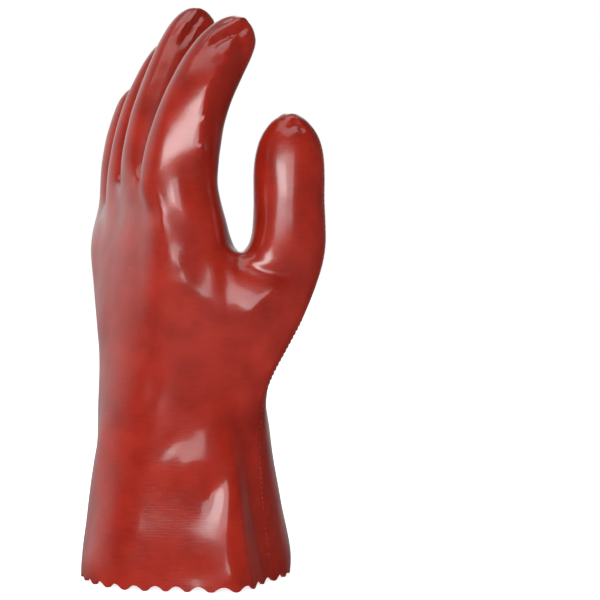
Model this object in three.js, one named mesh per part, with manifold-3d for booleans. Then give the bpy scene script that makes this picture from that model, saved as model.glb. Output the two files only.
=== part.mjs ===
// A dipped work glove for the left hand, standing on its cuff with the fingers up.
// Millimetres, +Z up, +X to the thumb side, -Y to the back of the hand, +Y to the palm.
// The glove is one hollow skin: a coarse control cage of quads is rounded by subdivision,
// thickened inwards by the wall, and its hem is cut into pinked teeth.
import * as THREE from 'three';
import { mergeVertices } from 'three/addons/utils/BufferGeometryUtils.js';
import Module from 'manifold-3d';

const CUFF_LENGTH = 84;
const HEM_WIDTH = 94;
const HEM_DEPTH = 101.5;
const HEM_SHIFT = 3.3;
const CUFF_CORNER = 11;
const CUFF_EDGE = 6;
const WRIST_WIDTH = 82;
const WRIST_DEPTH = 80.5;
const PALM_LENGTH = 108;
const KNUCKLE_WIDTH = 105.5;
const KNUCKLE_DEPTH = 42.5;
const KNUCKLE_ARCH = 19;
const KNUCKLE_SHIFT_ULNAR = 5;
const KNUCKLE_SHIFT_BACK = 8.5;
const FINGER_WIDTH = 25.2;
const FINGER_DEPTH = 27.2;
const PINKY_LENGTH = 60.5;
const RING_LENGTH = 79;
const MIDDLE_LENGTH = 86.5;
const INDEX_LENGTH = 89;
const THUMB_LENGTH = 95.5;
const THUMB_WIDTH = 35;
const FINGERTIP_DOME = 2;
const CROTCH_DROP = 4;
const WALL = 1.6;
const DENT_REACH = 10;
const TOOTH_COUNT = 30;
const TOOTH_DEPTH = 2.4;
const TOOTH_LAND = 2;

const GLOVE_RED = 0x9e2a20;

// Sections of the cuff, from the hem up. up is a share of the cuff's length, across and
// deep are shares of the flare from the wrist to the hem, side a share of the hem's shift, and
// pressed a share of how far the pressed corner and the edge opposite stand out.
const CUFF_SECTIONS = [
  { up: 0, across: 1, deep: 1, side: 1, pressed: 1 },
  { up: 0.11, across: 0.62, deep: 1.14, side: 1.4, pressed: 1 },
  { up: 0.38, across: 0.18, deep: 0.67, side: 0.8, pressed: 0.9 },
  { up: 0.69, across: 0.12, deep: 0.28, side: 0.45, pressed: 0.45 },
  { up: 1, across: 0, deep: 0, side: 0, pressed: 0 },
];

// Sections of the palm, from the wrist up. up is a share of the palm's length, across and
// deep go from the wrist's size to the knuckles', ulnar and back are shares of the knuckles'
// shifts, flat goes from round to hand shaped, and arch follows the knuckle line.
const PALM_SECTIONS = [
  { up: 0.185, across: 0.22, deep: 0.22, ulnar: 0.28, back: 0.14, flat: 0.2, arch: 0 },
  { up: 0.425, across: 0.45, deep: 0.54, ulnar: 0.72, back: 0.66, flat: 0.5, arch: 0 },
  { up: 0.73, across: 0.72, deep: 0.87, ulnar: 1.1, back: 1.05, flat: 0.8, arch: 0.6 },
  { up: 0.86, across: 1, deep: 1, ulnar: 0.96, back: 0.96, flat: 0.95, arch: 0.85 },
];

// The fingers from the little finger to the index. across is a share of half the knuckle
// width, deep of the knuckle depth and rise of the arch; width, depth, tipWidth and tipDepth
// are shares of the finger's width and depth; the lean from the base to the tip bends the
// finger to the palm, and splay tilts it to the side, both in degrees.
const FINGERS = [
  {
    name: 'pinky', length: PINKY_LENGTH, across: -0.9, deep: 0.02, rise: -0.885,
    width: 0.86, depth: 0.81, tipWidth: 0.81, tipDepth: 0.78, leanBase: 0, leanTip: 30.5, splay: -6.5,
  },
  {
    name: 'ring', length: RING_LENGTH, across: -0.47, deep: -0.105, rise: -0.515,
    width: 0.89, depth: 0.96, tipWidth: 0.77, tipDepth: 0.79, leanBase: 6, leanTip: 36.5, splay: -5.5,
  },
  {
    name: 'middle', length: MIDDLE_LENGTH, across: 0.025, deep: -0.18, rise: 0.105,
    width: 1, depth: 1, tipWidth: 0.91, tipDepth: 0.97, leanBase: 14, leanTip: 39, splay: -9,
  },
  {
    name: 'index', length: INDEX_LENGTH, across: 0.57, deep: -0.115, rise: -0.34,
    width: 1.18, depth: 1.41, tipWidth: 1.06, tipDepth: 1.02, leanBase: 0, leanTip: 49.5, splay: 1,
  },
];
const FINGER_RINGS = [
  { at: 0.1, full: 1 },
  { at: 0.32, full: 1 },
  { at: 0.56, full: 1 },
  { at: 0.8, full: 0.98 },
  { at: 0.955, full: 0.7 },
];
const TAPER_ENDS_AT = 0.8;

// The thumb grows out of the side of the palm, level at its root and upright at its tip.
// across and deep are shares of half the wrist, up of the palm's length; angles in degrees.
const THUMB_ROOT = { across: 0.86, deep: 0.53, up: 0.456, heading: 57.5, rootAngle: 8, tipAngle: 90 };
const THUMB_BEND_ENDS_AT = 0.41;
const THUMB_RINGS = [
  { at: 0.16, crown: 1.44, side: 1.03, full: 1 },
  { at: 0.34, crown: 1.035, side: 1.03, full: 1 },
  { at: 0.52, crown: 0.93, side: 0.95, full: 1 },
  { at: 0.7, crown: 0.99, side: 0.81, full: 1 },
  { at: 0.86, crown: 0.87, side: 0.7, full: 1 },
  { at: 0.965, crown: 0.62, side: 0.5, full: 0.78 },
];
// Points of the palm that the thumb's first ring meets, moved out, to the palm and up by
// shares of half the thumb's width.
const THUMB_MOUTH = [
  { row: 7, column: 1, out: -0.38, palmar: 0.05, up: 0.14 },
  { row: 7, column: 0, out: -0.32, palmar: 0.43, up: 0.12 },
  { row: 6, column: 0, out: 0.05, palmar: 0.38, up: -0.02 },
  { row: 5, column: 0, out: 0.34, palmar: 0.57, up: -0.28 },
  { row: 5, column: 1, out: 0.68, palmar: 0.97, up: -0.64 },
  { row: 5, column: 2, out: 0.36, palmar: 0.78, up: -0.27 },
  { row: 6, column: 2, out: -0.24, palmar: 0.26, up: -0.03 },
  { row: 7, column: 2, out: -0.38, palmar: -0.1, up: -0.1 },
];
// Dents and swellings of the skin. at is a share of the knuckles' height, or of the finger's
// length, and turn the degrees round it from the thumb side to the palm; tall and wide are
// shares of a dent's reach, push of the wall, and slant leans the top to the palm by degrees.
const DENTS = [
  { at: 0.5, turn: -43, tall: 0.9, wide: 0.6, push: -0.7, slant: 12 },
  { at: 0.345, turn: -35, tall: 0.9, wide: 0.6, push: -0.5, slant: 35 },
  { at: 0.29, turn: -22, tall: 0.9, wide: 0.6, push: 0.5, slant: 35 },
  { at: 0.22, turn: -9, tall: 1.5, wide: 0.7, push: -0.6, slant: 14 },
  { at: 0.215, turn: -42, tall: 1.6, wide: 1.4, push: 0.9, slant: 0 },
  { at: 0.03, turn: -40, tall: 1.3, wide: 1.4, push: -1.25, slant: 0 },
  { at: 0.2, turn: 24, tall: 3.2, wide: 0.7, push: -1, slant: 6 },
  { at: 0.45, turn: 9, tall: 2, wide: 0.7, push: -1, slant: -20 },
  { at: 0.5, turn: 12, tall: 1.2, wide: 0.8, push: -0.6, slant: 0 },
  { at: 0.68, turn: 0, tall: 2.6, wide: 1.8, push: 2.8, slant: 0 },
  { at: 0.77, turn: -14, tall: 1.2, wide: 0.8, push: 1.25, slant: 0 },
  { at: 0.96, turn: -22, tall: 1.5, wide: 1.2, push: -1.25, slant: 0 },
  { at: 0.12, turn: -96, tall: 1.6, wide: 0.9, push: -0.6, slant: -10 },
  { at: 0.34, turn: -112, tall: 1.8, wide: 0.8, push: -0.7, slant: 15 },
  { at: 0.3, turn: 100, tall: 1.4, wide: 1, push: -0.8, slant: 20 },
  { at: 0.46, turn: 78, tall: 0.8, wide: 1.8, push: -0.7, slant: 0 },
  { at: 0.72, turn: 100, tall: 1.6, wide: 1.2, push: -0.9, slant: -20 },
  { finger: 'index', at: 0.46, turn: -12, tall: 2.6, wide: 0.6, push: 1.2, slant: 0 },
];
// The flesh round the thumb's mouth is evened out over these rows and columns of the skin.
const EASED_ROWS = [4, 5, 6, 7, 8];
const EASED_COLUMNS = [-1, 0, 1, 2, 3];
const EASING_PASSES = 2;

const COLUMNS = 20;
const RING_POINTS = 8;
const KNUCKLE_ROW = CUFF_SECTIONS.length + PALM_SECTIONS.length;
const ULNAR_COLUMN = COLUMNS / 2;
const RING_SWELL = 3 / (2 + Math.cos((2 * Math.PI) / RING_POINTS));
const COLUMN_SWELL = 3 / (2 + Math.cos((2 * Math.PI) / COLUMNS));
const KNUCKLE_HEIGHT = CUFF_LENGTH + PALM_LENGTH;
const HEM_TRIM = 2;
const WALK_STEPS = 12;
const GIRTH_STEPS = 720;

// Share of the crotches' drop that the dips beside them have.
const DIP_SHARE = 0.75;

// The ring that cuts the hem: near and far are shares of the hem's half width and depth, and
// below a share of the trim. A tooth's flank is marked at a share of its slope.
const HEM_CUTTER = { near: 0.7, far: 1.3, below: 3 };
const TOOTH_FLANK_AT = 0.45;

// Half outlines of a hand's section at the knuckles, from the ulnar to the thumb side.
const HAND_ACROSS = [-0.96, -0.74, -0.49, -0.25, 0, 0.25, 0.49, 0.74, 0.96];
const HAND_CORNER = 0.62;
const HAND_VALLEY = 0.97;
const HAND_EDGE = 1.06;

const radians = THREE.MathUtils.degToRad;
const mix = THREE.MathUtils.lerp;

// Named points and quads of the control cage.
class Cage {
  constructor() {
    this.names = new Map();
    this.points = [];
    this.quads = [];
  }

  place(name, point) {
    if (!this.names.has(name)) {
      this.names.set(name, this.points.length);
      this.points.push(point.clone());
    }
    this.points[this.names.get(name)].copy(point);
  }

  at(name) {
    return this.points[this.names.get(name)];
  }

  quad(...names) {
    this.quads.push(names.map((name) => this.names.get(name)));
  }

  // Joins two rings of points by quads that face out.
  join(lower, upper) {
    lower.forEach((name, i) => {
      const next = (i + 1) % lower.length;
      this.quad(name, lower[next], upper[next], upper[i]);
    });
  }

  // Closes a ring of eight with four quads round its tip.
  close(ring, tip) {
    for (let i = 1; i < ring.length; i += 2) {
      this.quad(ring[i - 1], ring[i], ring[(i + 1) % ring.length], tip);
    }
  }
}

const skin = (row, column) => `skin ${row} ${(column + COLUMNS) % COLUMNS}`;
const palmSide = (j) => skin(KNUCKLE_ROW, ULNAR_COLUMN - 1 - j);
const backSide = (j) => skin(KNUCKLE_ROW, ULNAR_COLUMN + 1 + j);
const web = (gap) => `web ${gap}`;

function roundSection(column) {
  const turn = (2 * Math.PI * column) / COLUMNS;
  return new THREE.Vector2(Math.cos(turn), Math.sin(turn)).multiplyScalar(COLUMN_SWELL);
}

function handSection(column) {
  if (column === 0) return new THREE.Vector2(HAND_EDGE, 0);
  if (column === ULNAR_COLUMN) return new THREE.Vector2(-HAND_EDGE, 0);
  const side = column < ULNAR_COLUMN ? 1 : -1;
  const j = Math.abs(column - ULNAR_COLUMN) - 1;
  const corner = j === 0 || j === HAND_ACROSS.length - 1;
  const bulge = corner ? HAND_CORNER : j % 2 === 0 ? HAND_VALLEY : 1;
  return new THREE.Vector2(HAND_ACROSS[j], side * bulge);
}

function fingerBase(finger) {
  return new THREE.Vector3(
    -KNUCKLE_SHIFT_ULNAR + (finger.across * KNUCKLE_WIDTH) / 2,
    -KNUCKLE_SHIFT_BACK + finger.deep * KNUCKLE_DEPTH,
    KNUCKLE_HEIGHT + finger.rise * KNUCKLE_ARCH,
  );
}

// Height of the knuckle line over a column, above the height of the knuckles.
function archAt(column) {
  const j = Math.abs(ULNAR_COLUMN - (column === 0 ? COLUMNS : column)) - 1;
  const place = THREE.MathUtils.clamp((j - 1) / 2, 0, FINGERS.length - 1);
  const lower = Math.min(Math.floor(place), FINGERS.length - 2);
  return KNUCKLE_ARCH * mix(FINGERS[lower].rise, FINGERS[lower + 1].rise, place - lower);
}

function cuffRing(section, column) {
  const unit = roundSection(column);
  const pressed = { 0: CUFF_CORNER, [ULNAR_COLUMN]: -CUFF_EDGE }[column] ?? 0;
  const halfWidth = mix(WRIST_WIDTH, HEM_WIDTH, section.across) / 2;
  return new THREE.Vector3(
    HEM_SHIFT * section.side + unit.x * halfWidth + pressed * section.pressed,
    (unit.y * mix(WRIST_DEPTH, HEM_DEPTH, section.deep)) / 2,
    section.up === 0 ? -HEM_TRIM : CUFF_LENGTH * section.up,
  );
}

function palmRing(section, column) {
  const unit = roundSection(column).lerp(handSection(column), section.flat);
  return new THREE.Vector3(
    -KNUCKLE_SHIFT_ULNAR * section.ulnar + (unit.x * mix(WRIST_WIDTH, KNUCKLE_WIDTH, section.across)) / 2,
    -KNUCKLE_SHIFT_BACK * section.back + (unit.y * mix(WRIST_DEPTH, KNUCKLE_DEPTH, section.deep)) / 2,
    CUFF_LENGTH + PALM_LENGTH * section.up + archAt(column) * section.arch,
  );
}

// A ring of points round a centre, in the plane of two directions.
function ringPoints(centre, first, second) {
  return Array.from({ length: RING_POINTS }, (_, k) => {
    const turn = (2 * Math.PI * k) / RING_POINTS;
    return centre
      .clone()
      .addScaledVector(first, Math.cos(turn) * RING_SWELL)
      .addScaledVector(second, Math.sin(turn) * RING_SWELL);
  });
}

// Walks along a bending limb and returns the point at a share of its length.
function walk(start, length, share, direction) {
  const point = start.clone();
  for (let i = 0; i < WALK_STEPS; i++) {
    point.addScaledVector(direction((share * (i + 0.5)) / WALK_STEPS), (length * share) / WALK_STEPS);
  }
  return point;
}

function fingerFrame(finger, share) {
  const lean = radians(mix(finger.leanBase, finger.leanTip, share));
  const splay = radians(finger.splay);
  const along = new THREE.Vector3(
    Math.sin(splay),
    Math.sin(lean) * Math.cos(splay),
    Math.cos(lean) * Math.cos(splay),
  ).normalize();
  const across = new THREE.Vector3(1, 0, 0).addScaledVector(along, -along.x).normalize();
  const deep = along.clone().cross(across);
  return { along, across, deep };
}

function fingerRing(finger, ring) {
  const { across, deep } = fingerFrame(finger, ring.at);
  const taper = Math.min(1, ring.at / TAPER_ENDS_AT);
  const width = FINGER_WIDTH * mix(finger.width, finger.tipWidth, taper) * ring.full;
  const depth = FINGER_DEPTH * mix(finger.depth, finger.tipDepth, taper) * ring.full;
  const centre = walk(fingerBase(finger), finger.length, ring.at, (s) => fingerFrame(finger, s).along);
  return ringPoints(centre, across.multiplyScalar(width / 2), deep.multiplyScalar(depth / 2));
}

function buildSkin(cage) {
  const rows = CUFF_SECTIONS.length + PALM_SECTIONS.length;
  for (let row = 0; row < rows; row++) {
    for (let column = 0; column < COLUMNS; column++) {
      const cuff = CUFF_SECTIONS[row];
      const palm = PALM_SECTIONS[row - CUFF_SECTIONS.length];
      cage.place(skin(row, column), cuff ? cuffRing(cuff, column) : palmRing(palm, column));
    }
  }
  const reach = THUMB_WIDTH / 2;
  THUMB_MOUTH.forEach(({ row, column, out, palmar, up }) => {
    cage.at(skin(row, column)).add(new THREE.Vector3(out * reach, palmar * reach, up * reach));
  });
}

// The last row of the skin is shared by the four fingers, with a web point in each crotch.
function buildKnuckles(cage) {
  const bases = FINGERS.map((finger) => fingerRing(finger, { at: 0, full: 1 }));
  const last = FINGERS.length - 1;
  cage.place(skin(KNUCKLE_ROW, 0), bases[last][0]);
  cage.place(skin(KNUCKLE_ROW, ULNAR_COLUMN), bases[0][4]);
  cage.place(palmSide(0), bases[0][3]);
  cage.place(backSide(0), bases[0][5]);
  cage.place(palmSide(2 * last + 2), bases[last][1]);
  cage.place(backSide(2 * last + 2), bases[last][7]);
  bases.forEach((base, i) => {
    cage.place(palmSide(2 * i + 1), base[2]);
    cage.place(backSide(2 * i + 1), base[6]);
  });
  for (let gap = 1; gap < FINGERS.length; gap++) {
    const [lower, upper] = [bases[gap - 1], bases[gap]];
    const between = (a, b, drop) => a.clone().lerp(b, 0.5).add(new THREE.Vector3(0, 0, -drop));
    cage.place(web(gap), between(lower[0], upper[4], CROTCH_DROP));
    cage.place(palmSide(2 * gap), between(lower[1], upper[3], CROTCH_DROP * DIP_SHARE));
    cage.place(backSide(2 * gap), between(lower[7], upper[5], CROTCH_DROP * DIP_SHARE));
  }
}

// Adds rings and a closing tip to a limb, from the ring of names it starts on.
function buildLimb(cage, name, start, rings, tip) {
  let lower = start;
  rings.forEach((points, r) => {
    const upper = points.map((point, k) => {
      const key = `${name} ${r} ${k}`;
      cage.place(key, point);
      return key;
    });
    cage.join(lower, upper);
    lower = upper;
  });
  cage.place(`${name} tip`, tip);
  cage.close(lower, `${name} tip`);
}

function buildFinger(cage, finger, i) {
  const thumbSide = i === FINGERS.length - 1 ? skin(KNUCKLE_ROW, 0) : web(i + 1);
  const ulnarSide = i === 0 ? skin(KNUCKLE_ROW, ULNAR_COLUMN) : web(i);
  const start = [
    thumbSide, palmSide(2 * i + 2), palmSide(2 * i + 1), palmSide(2 * i),
    ulnarSide, backSide(2 * i), backSide(2 * i + 1), backSide(2 * i + 2),
  ];
  const rings = FINGER_RINGS.map((ring) => fingerRing(finger, ring));
  const direction = (s) => fingerFrame(finger, s).along;
  const tip = walk(fingerBase(finger), finger.length, 1, direction);
  tip.addScaledVector(direction(1), FINGERTIP_DOME);
  buildLimb(cage, finger.name, start, rings, tip);
}

// The thumb's direction turns from its root's angle to its tip's, and then stays.
function thumbDirection(share) {
  const left = 1 - Math.min(1, share / THUMB_BEND_ENDS_AT);
  const angle = radians(mix(THUMB_ROOT.rootAngle, THUMB_ROOT.tipAngle, 1 - left * left));
  const heading = radians(THUMB_ROOT.heading);
  return {
    along: new THREE.Vector3(
      Math.cos(heading) * Math.cos(angle), Math.sin(heading) * Math.cos(angle), Math.sin(angle),
    ),
    crown: new THREE.Vector3(
      -Math.cos(heading) * Math.sin(angle), -Math.sin(heading) * Math.sin(angle), Math.cos(angle),
    ),
    side: new THREE.Vector3(Math.sin(heading), -Math.cos(heading), 0),
  };
}

function buildThumb(cage) {
  const root = new THREE.Vector3(
    (THUMB_ROOT.across * WRIST_WIDTH) / 2,
    (THUMB_ROOT.deep * WRIST_DEPTH) / 2,
    CUFF_LENGTH + THUMB_ROOT.up * PALM_LENGTH,
  );
  const direction = (s) => thumbDirection(s).along;
  const rings = THUMB_RINGS.map((ring) => {
    const { crown, side } = thumbDirection(ring.at);
    const half = (THUMB_WIDTH / 2) * ring.full;
    const centre = walk(root, THUMB_LENGTH, ring.at, direction);
    return ringPoints(centre, crown.multiplyScalar(half * ring.crown), side.multiplyScalar(half * ring.side));
  });
  const tip = walk(root, THUMB_LENGTH, 1, direction).addScaledVector(direction(1), FINGERTIP_DOME);
  buildLimb(cage, 'thumb', THUMB_MOUTH.map(({ row, column }) => skin(row, column)), rings, tip);
}

// Quads of the skin between the rows, left out where the thumb grows.
function joinSkin(cage) {
  const mouthRows = THUMB_MOUTH.map(({ row }) => row);
  const mouthColumns = THUMB_MOUTH.map(({ column }) => column);
  for (let row = 0; row < KNUCKLE_ROW; row++) {
    for (let column = 0; column < COLUMNS; column++) {
      const inRows = row >= Math.min(...mouthRows) && row < Math.max(...mouthRows);
      const inColumns = column >= Math.min(...mouthColumns) && column < Math.max(...mouthColumns);
      if (inRows && inColumns) continue;
      cage.quad(skin(row, column), skin(row, column + 1), skin(row + 1, column + 1), skin(row + 1, column));
    }
  }
}

function gloveCage() {
  const cage = new Cage();
  buildSkin(cage);
  buildKnuckles(cage);
  joinSkin(cage);
  FINGERS.forEach((finger, i) => buildFinger(cage, finger, i));
  buildThumb(cage);
  const mesh = dropUnused(cage);
  easeThumbMouth(mesh);
  return mesh;
}

// Leaves out the points that no quad uses, and keeps the names of the others.
function dropUnused({ names, points, quads }) {
  const kept = [...new Set(quads.flat())].sort((a, b) => a - b);
  const place = new Map(kept.map((old, i) => [old, i]));
  return {
    names: new Map([...names].filter(([, i]) => place.has(i)).map(([name, i]) => [name, place.get(i)])),
    points: kept.map((i) => points[i]),
    quads: quads.map((quad) => quad.map((i) => place.get(i))),
  };
}

// Moves the points round the thumb's mouth half way to the middle of their neighbours.
function easeThumbMouth(mesh) {
  const { names, points } = mesh;
  const { edges, around } = neighbourhood(mesh);
  const skinNames = EASED_ROWS.flatMap((row) => EASED_COLUMNS.map((column) => skin(row, column)));
  const ringNames = Array.from({ length: RING_POINTS }, (_, k) => `thumb 0 ${k}`);
  const eased = [...skinNames, ...ringNames].filter((name) => names.has(name)).map((name) => names.get(name));
  for (let pass = 0; pass < EASING_PASSES; pass++) {
    const targets = eased.map((i) =>
      mean(around[i].edges.map((key) => points[otherEnd(edges.get(key), i)])).lerp(points[i], 0.5),
    );
    eased.forEach((i, n) => points[i].copy(targets[n]));
  }
}

// Edges with the quads at each, and what meets at every point.
function neighbourhood({ points, quads }) {
  const edges = new Map();
  const around = points.map(() => ({ quads: [], edges: [] }));
  quads.forEach((quad, q) => {
    quad.forEach((a, k) => {
      const b = quad[(k + 1) % 4];
      const key = a < b ? `${a} ${b}` : `${b} ${a}`;
      if (!edges.has(key)) {
        edges.set(key, { ends: [a, b], quads: [] });
        around[a].edges.push(key);
        around[b].edges.push(key);
      }
      edges.get(key).quads.push(q);
      around[a].quads.push(q);
    });
  });
  return { edges, around };
}

const sum = (vectors) => vectors.reduce((total, v) => total.add(v), new THREE.Vector3());
const mean = (vectors) => sum(vectors).divideScalar(vectors.length);
const otherEnd = (edge, point) => (edge.ends[0] === point ? edge.ends[1] : edge.ends[0]);

// One Catmull-Clark step, with the open hem kept as a smooth edge.
function subdivide(mesh) {
  const { points, quads } = mesh;
  const { edges, around } = neighbourhood(mesh);
  const faceMiddles = quads.map((quad) => mean(quad.map((i) => points[i])));
  const moved = points.map((point, i) => {
    const open = around[i].edges.map((key) => edges.get(key)).filter((edge) => edge.quads.length === 1);
    if (open.length > 0) {
      const ends = sum(open.map((edge) => points[otherEnd(edge, i)]));
      return point.clone().multiplyScalar(0.75).addScaledVector(ends, 0.125);
    }
    const count = around[i].quads.length;
    const faces = mean(around[i].quads.map((q) => faceMiddles[q]));
    const middles = mean(around[i].edges.map((key) => mean(edges.get(key).ends.map((e) => points[e]))));
    return point
      .clone()
      .multiplyScalar(count - 3)
      .add(faces)
      .addScaledVector(middles, 2)
      .divideScalar(count);
  });
  const edgePlace = new Map();
  const edgePoints = [...edges].map(([key, { ends, quads: sides }], i) => {
    edgePlace.set(key, points.length + i);
    const parts = ends.map((e) => points[e]);
    return mean(sides.length === 2 ? [...parts, ...sides.map((q) => faceMiddles[q])] : parts);
  });
  const between = (a, b) => edgePlace.get(a < b ? `${a} ${b}` : `${b} ${a}`);
  const firstMiddle = points.length + edgePoints.length;
  const finer = quads.flatMap((quad, q) =>
    quad.map((a, k) => [a, between(a, quad[(k + 1) % 4]), firstMiddle + q, between(quad[(k + 3) % 4], a)]),
  );
  return { points: [...moved, ...edgePoints, ...faceMiddles], quads: finer };
}

// Moves every point to where endless subdivision would bring it.
function toLimit(mesh) {
  const { points, quads } = mesh;
  const { edges, around } = neighbourhood(mesh);
  const limits = points.map((point, i) => {
    const touching = around[i].edges.map((key) => edges.get(key));
    const open = touching.filter((edge) => edge.quads.length === 1);
    if (open.length > 0) {
      const ends = sum(open.map((edge) => points[otherEnd(edge, i)]));
      return point.clone().multiplyScalar(4).add(ends).divideScalar(6);
    }
    const count = touching.length;
    const ends = sum(touching.map((edge) => points[otherEnd(edge, i)]));
    const opposite = sum(around[i].quads.map((q) => points[quads[q][(quads[q].indexOf(i) + 2) % 4]]));
    return point
      .clone()
      .multiplyScalar(count * count)
      .addScaledVector(ends, 4)
      .add(opposite)
      .divideScalar(count * (count + 5));
  });
  return { points: limits, quads };
}

function outwardNormals({ points, quads }) {
  const normals = points.map(() => new THREE.Vector3());
  quads.forEach((quad) => {
    const [a, b, c, d] = quad.map((i) => points[i]);
    const facing = c.clone().sub(a).cross(d.clone().sub(b));
    quad.forEach((i) => normals[i].add(facing));
  });
  return normals.map((normal) => normal.normalize());
}

// The middle of the cuff or palm at a height.
function handMiddle(height) {
  const cuff = CUFF_SECTIONS.map(({ up, side }) => [HEM_SHIFT * side, 0, CUFF_LENGTH * up]);
  const palm = PALM_SECTIONS.map(({ up, ulnar, back }) => [
    -KNUCKLE_SHIFT_ULNAR * ulnar, -KNUCKLE_SHIFT_BACK * back, CUFF_LENGTH + PALM_LENGTH * up,
  ]);
  const middles = [...cuff, ...palm].map((place) => new THREE.Vector3(...place));
  const next = middles.findIndex(({ z }) => z > height);
  if (next < 0) return middles.at(-1).clone().setZ(height);
  const [low, high] = [middles[next - 1], middles[next]];
  return low.clone().lerp(high, (height - low.z) / (high.z - low.z));
}

// The line out of the hand or a finger that a dent lies on, and the direction along the limb.
function dentLine({ finger: name, at, turn }) {
  const outward = new THREE.Vector3(Math.cos(radians(turn)), Math.sin(radians(turn)), 0);
  const finger = FINGERS.find((one) => one.name === name);
  if (!finger) return { start: handMiddle(KNUCKLE_HEIGHT * at), outward, along: new THREE.Vector3(0, 0, 1) };
  const direction = (s) => fingerFrame(finger, s).along;
  const along = direction(at);
  const start = walk(fingerBase(finger), finger.length, at, direction);
  return { start, outward: outward.addScaledVector(along, -outward.dot(along)).normalize(), along };
}

// Pushes the dents into the skin and the swellings out of it.
function dentSkin({ points, quads }) {
  const normals = outwardNormals({ points, quads });
  const pushes = points.map(() => 0);
  DENTS.forEach((dent) => {
    const { start, outward, along } = dentLine(dent);
    const reach = points.map((point) => point.clone().sub(start));
    const asides = reach.map((r, i) => {
      const ahead = r.dot(outward);
      const facing = ahead > 0 && normals[i].dot(outward) > 0;
      return facing ? r.clone().addScaledVector(outward, -ahead).length() : Infinity;
    });
    const nearest = asides.indexOf(Math.min(...asides));
    const centre = start.clone().addScaledVector(outward, reach[nearest].dot(outward));
    const across = along.clone().cross(outward).normalize();
    const slant = radians(dent.slant);
    const longWay = along.clone().multiplyScalar(Math.cos(slant)).addScaledVector(across, Math.sin(slant));
    const shortWay = across.clone().multiplyScalar(Math.cos(slant)).addScaledVector(along, -Math.sin(slant));
    points.forEach((point, i) => {
      if (normals[i].dot(outward) < 0) return;
      const from = point.clone().sub(centre).divideScalar(DENT_REACH);
      const size = (from.dot(longWay) / dent.tall) ** 2 + (from.dot(shortWay) / dent.wide) ** 2;
      const depth = (from.dot(outward) / Math.max(dent.tall, dent.wide)) ** 2;
      pushes[i] += dent.push * WALL * Math.exp(-size - depth);
    });
  });
  return { points: points.map((point, i) => point.clone().addScaledVector(normals[i], pushes[i])), quads };
}

// The open skin and a copy moved in by the wall, joined round the hem.
function thicken(mesh, wall) {
  const { points, quads } = mesh;
  const normals = outwardNormals(mesh);
  const inner = points.map((point, i) => point.clone().addScaledVector(normals[i], -wall));
  const count = points.length;
  const { edges, around } = neighbourhood(mesh);
  around.forEach(({ edges: keys }, i) => {
    if (keys.some((key) => edges.get(key).quads.length === 1)) inner[i].z = points[i].z;
  });
  const rim = [...edges.values()].filter((edge) => edge.quads.length === 1);
  const all = [
    ...quads,
    ...quads.map((quad) => quad.map((i) => i + count).reverse()),
    ...rim.map(({ ends: [a, b] }) => [b, a, a + count, b + count]),
  ];
  return { points: [...points, ...inner], quads: all };
}

function geometryOf({ points, quads }) {
  const geometry = new THREE.BufferGeometry();
  geometry.setAttribute(
    'position',
    new THREE.Float32BufferAttribute(points.flatMap((p) => [p.x, p.y, p.z]), 3),
  );
  geometry.setIndex(quads.flatMap(([a, b, c, d]) => [a, b, c, a, c, d]));
  return geometry;
}

// Gives the angle at a share of an oval's girth.
function girthAngles(halfWidth, halfDepth) {
  const lengths = [0];
  for (let i = 0; i < GIRTH_STEPS; i++) {
    const angle = (2 * Math.PI * (i + 0.5)) / GIRTH_STEPS;
    lengths.push(lengths[i] + Math.hypot(halfWidth * Math.sin(angle), halfDepth * Math.cos(angle)));
  }
  return (share) => {
    const along = (share - Math.floor(share)) * lengths[GIRTH_STEPS];
    const i = lengths.findIndex((length) => length > along) - 1;
    const rest = (along - lengths[i]) / (lengths[i + 1] - lengths[i]);
    return (2 * Math.PI * (i + rest)) / GIRTH_STEPS;
  };
}

// Height of the hem over one tooth, from its flat tip to the round notch beside it.
function hemHeight(share, land) {
  const offset = Math.abs(share - Math.round(share));
  const past = Math.max(0, offset - land / 2) / (0.5 - land / 2);
  return TOOTH_DEPTH * Math.sin((Math.PI / 2) * past);
}

// A closed ring under the hem whose top is the pinked line.
function hemCutter() {
  const halfWidth = HEM_WIDTH / 2;
  const halfDepth = HEM_DEPTH / 2;
  const pitch = (Math.PI * (halfWidth + halfDepth)) / TOOTH_COUNT;
  const land = TOOTH_LAND / pitch;
  const flank = mix(land / 2, 0.5, TOOTH_FLANK_AT);
  const angleAt = girthAngles(halfWidth, halfDepth);
  const places = [];
  for (let tooth = 0; tooth < TOOTH_COUNT; tooth++) {
    [-flank, -land / 2, land / 2, flank, 0.5].forEach((share) => {
      places.push({ angle: angleAt((tooth + share) / TOOTH_COUNT), height: hemHeight(share, land) });
    });
  }
  const point = (angle, reach, z) =>
    new THREE.Vector3(
      HEM_SHIFT * CUFF_SECTIONS[0].side + Math.cos(angle) * halfWidth * reach,
      Math.sin(angle) * halfDepth * reach,
      z,
    );
  const below = -HEM_CUTTER.below * HEM_TRIM;
  const points = places.flatMap(({ angle, height }) => [
    point(angle, HEM_CUTTER.near, below),
    point(angle, HEM_CUTTER.far, below),
    point(angle, HEM_CUTTER.far, height),
    point(angle, HEM_CUTTER.near, height),
  ]);
  const quads = places.flatMap((_, i) => {
    const a = 4 * i;
    const b = 4 * ((i + 1) % places.length);
    return [
      [a + 1, b + 1, b + 2, a + 2],
      [a + 2, b + 2, b + 3, a + 3],
      [a + 3, b + 3, b, a],
      [a, b, b + 1, a + 1],
    ];
  });
  return geometryOf({ points, quads });
}

const wasm = await Module();
wasm.setup();

function toSolid(geometry) {
  const merged = mergeVertices(geometry);
  const mesh = new wasm.Mesh({
    numProp: 3,
    vertProperties: new Float32Array(merged.attributes.position.array),
    triVerts: new Uint32Array(merged.index.array),
  });
  return new wasm.Manifold(mesh);
}

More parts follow.
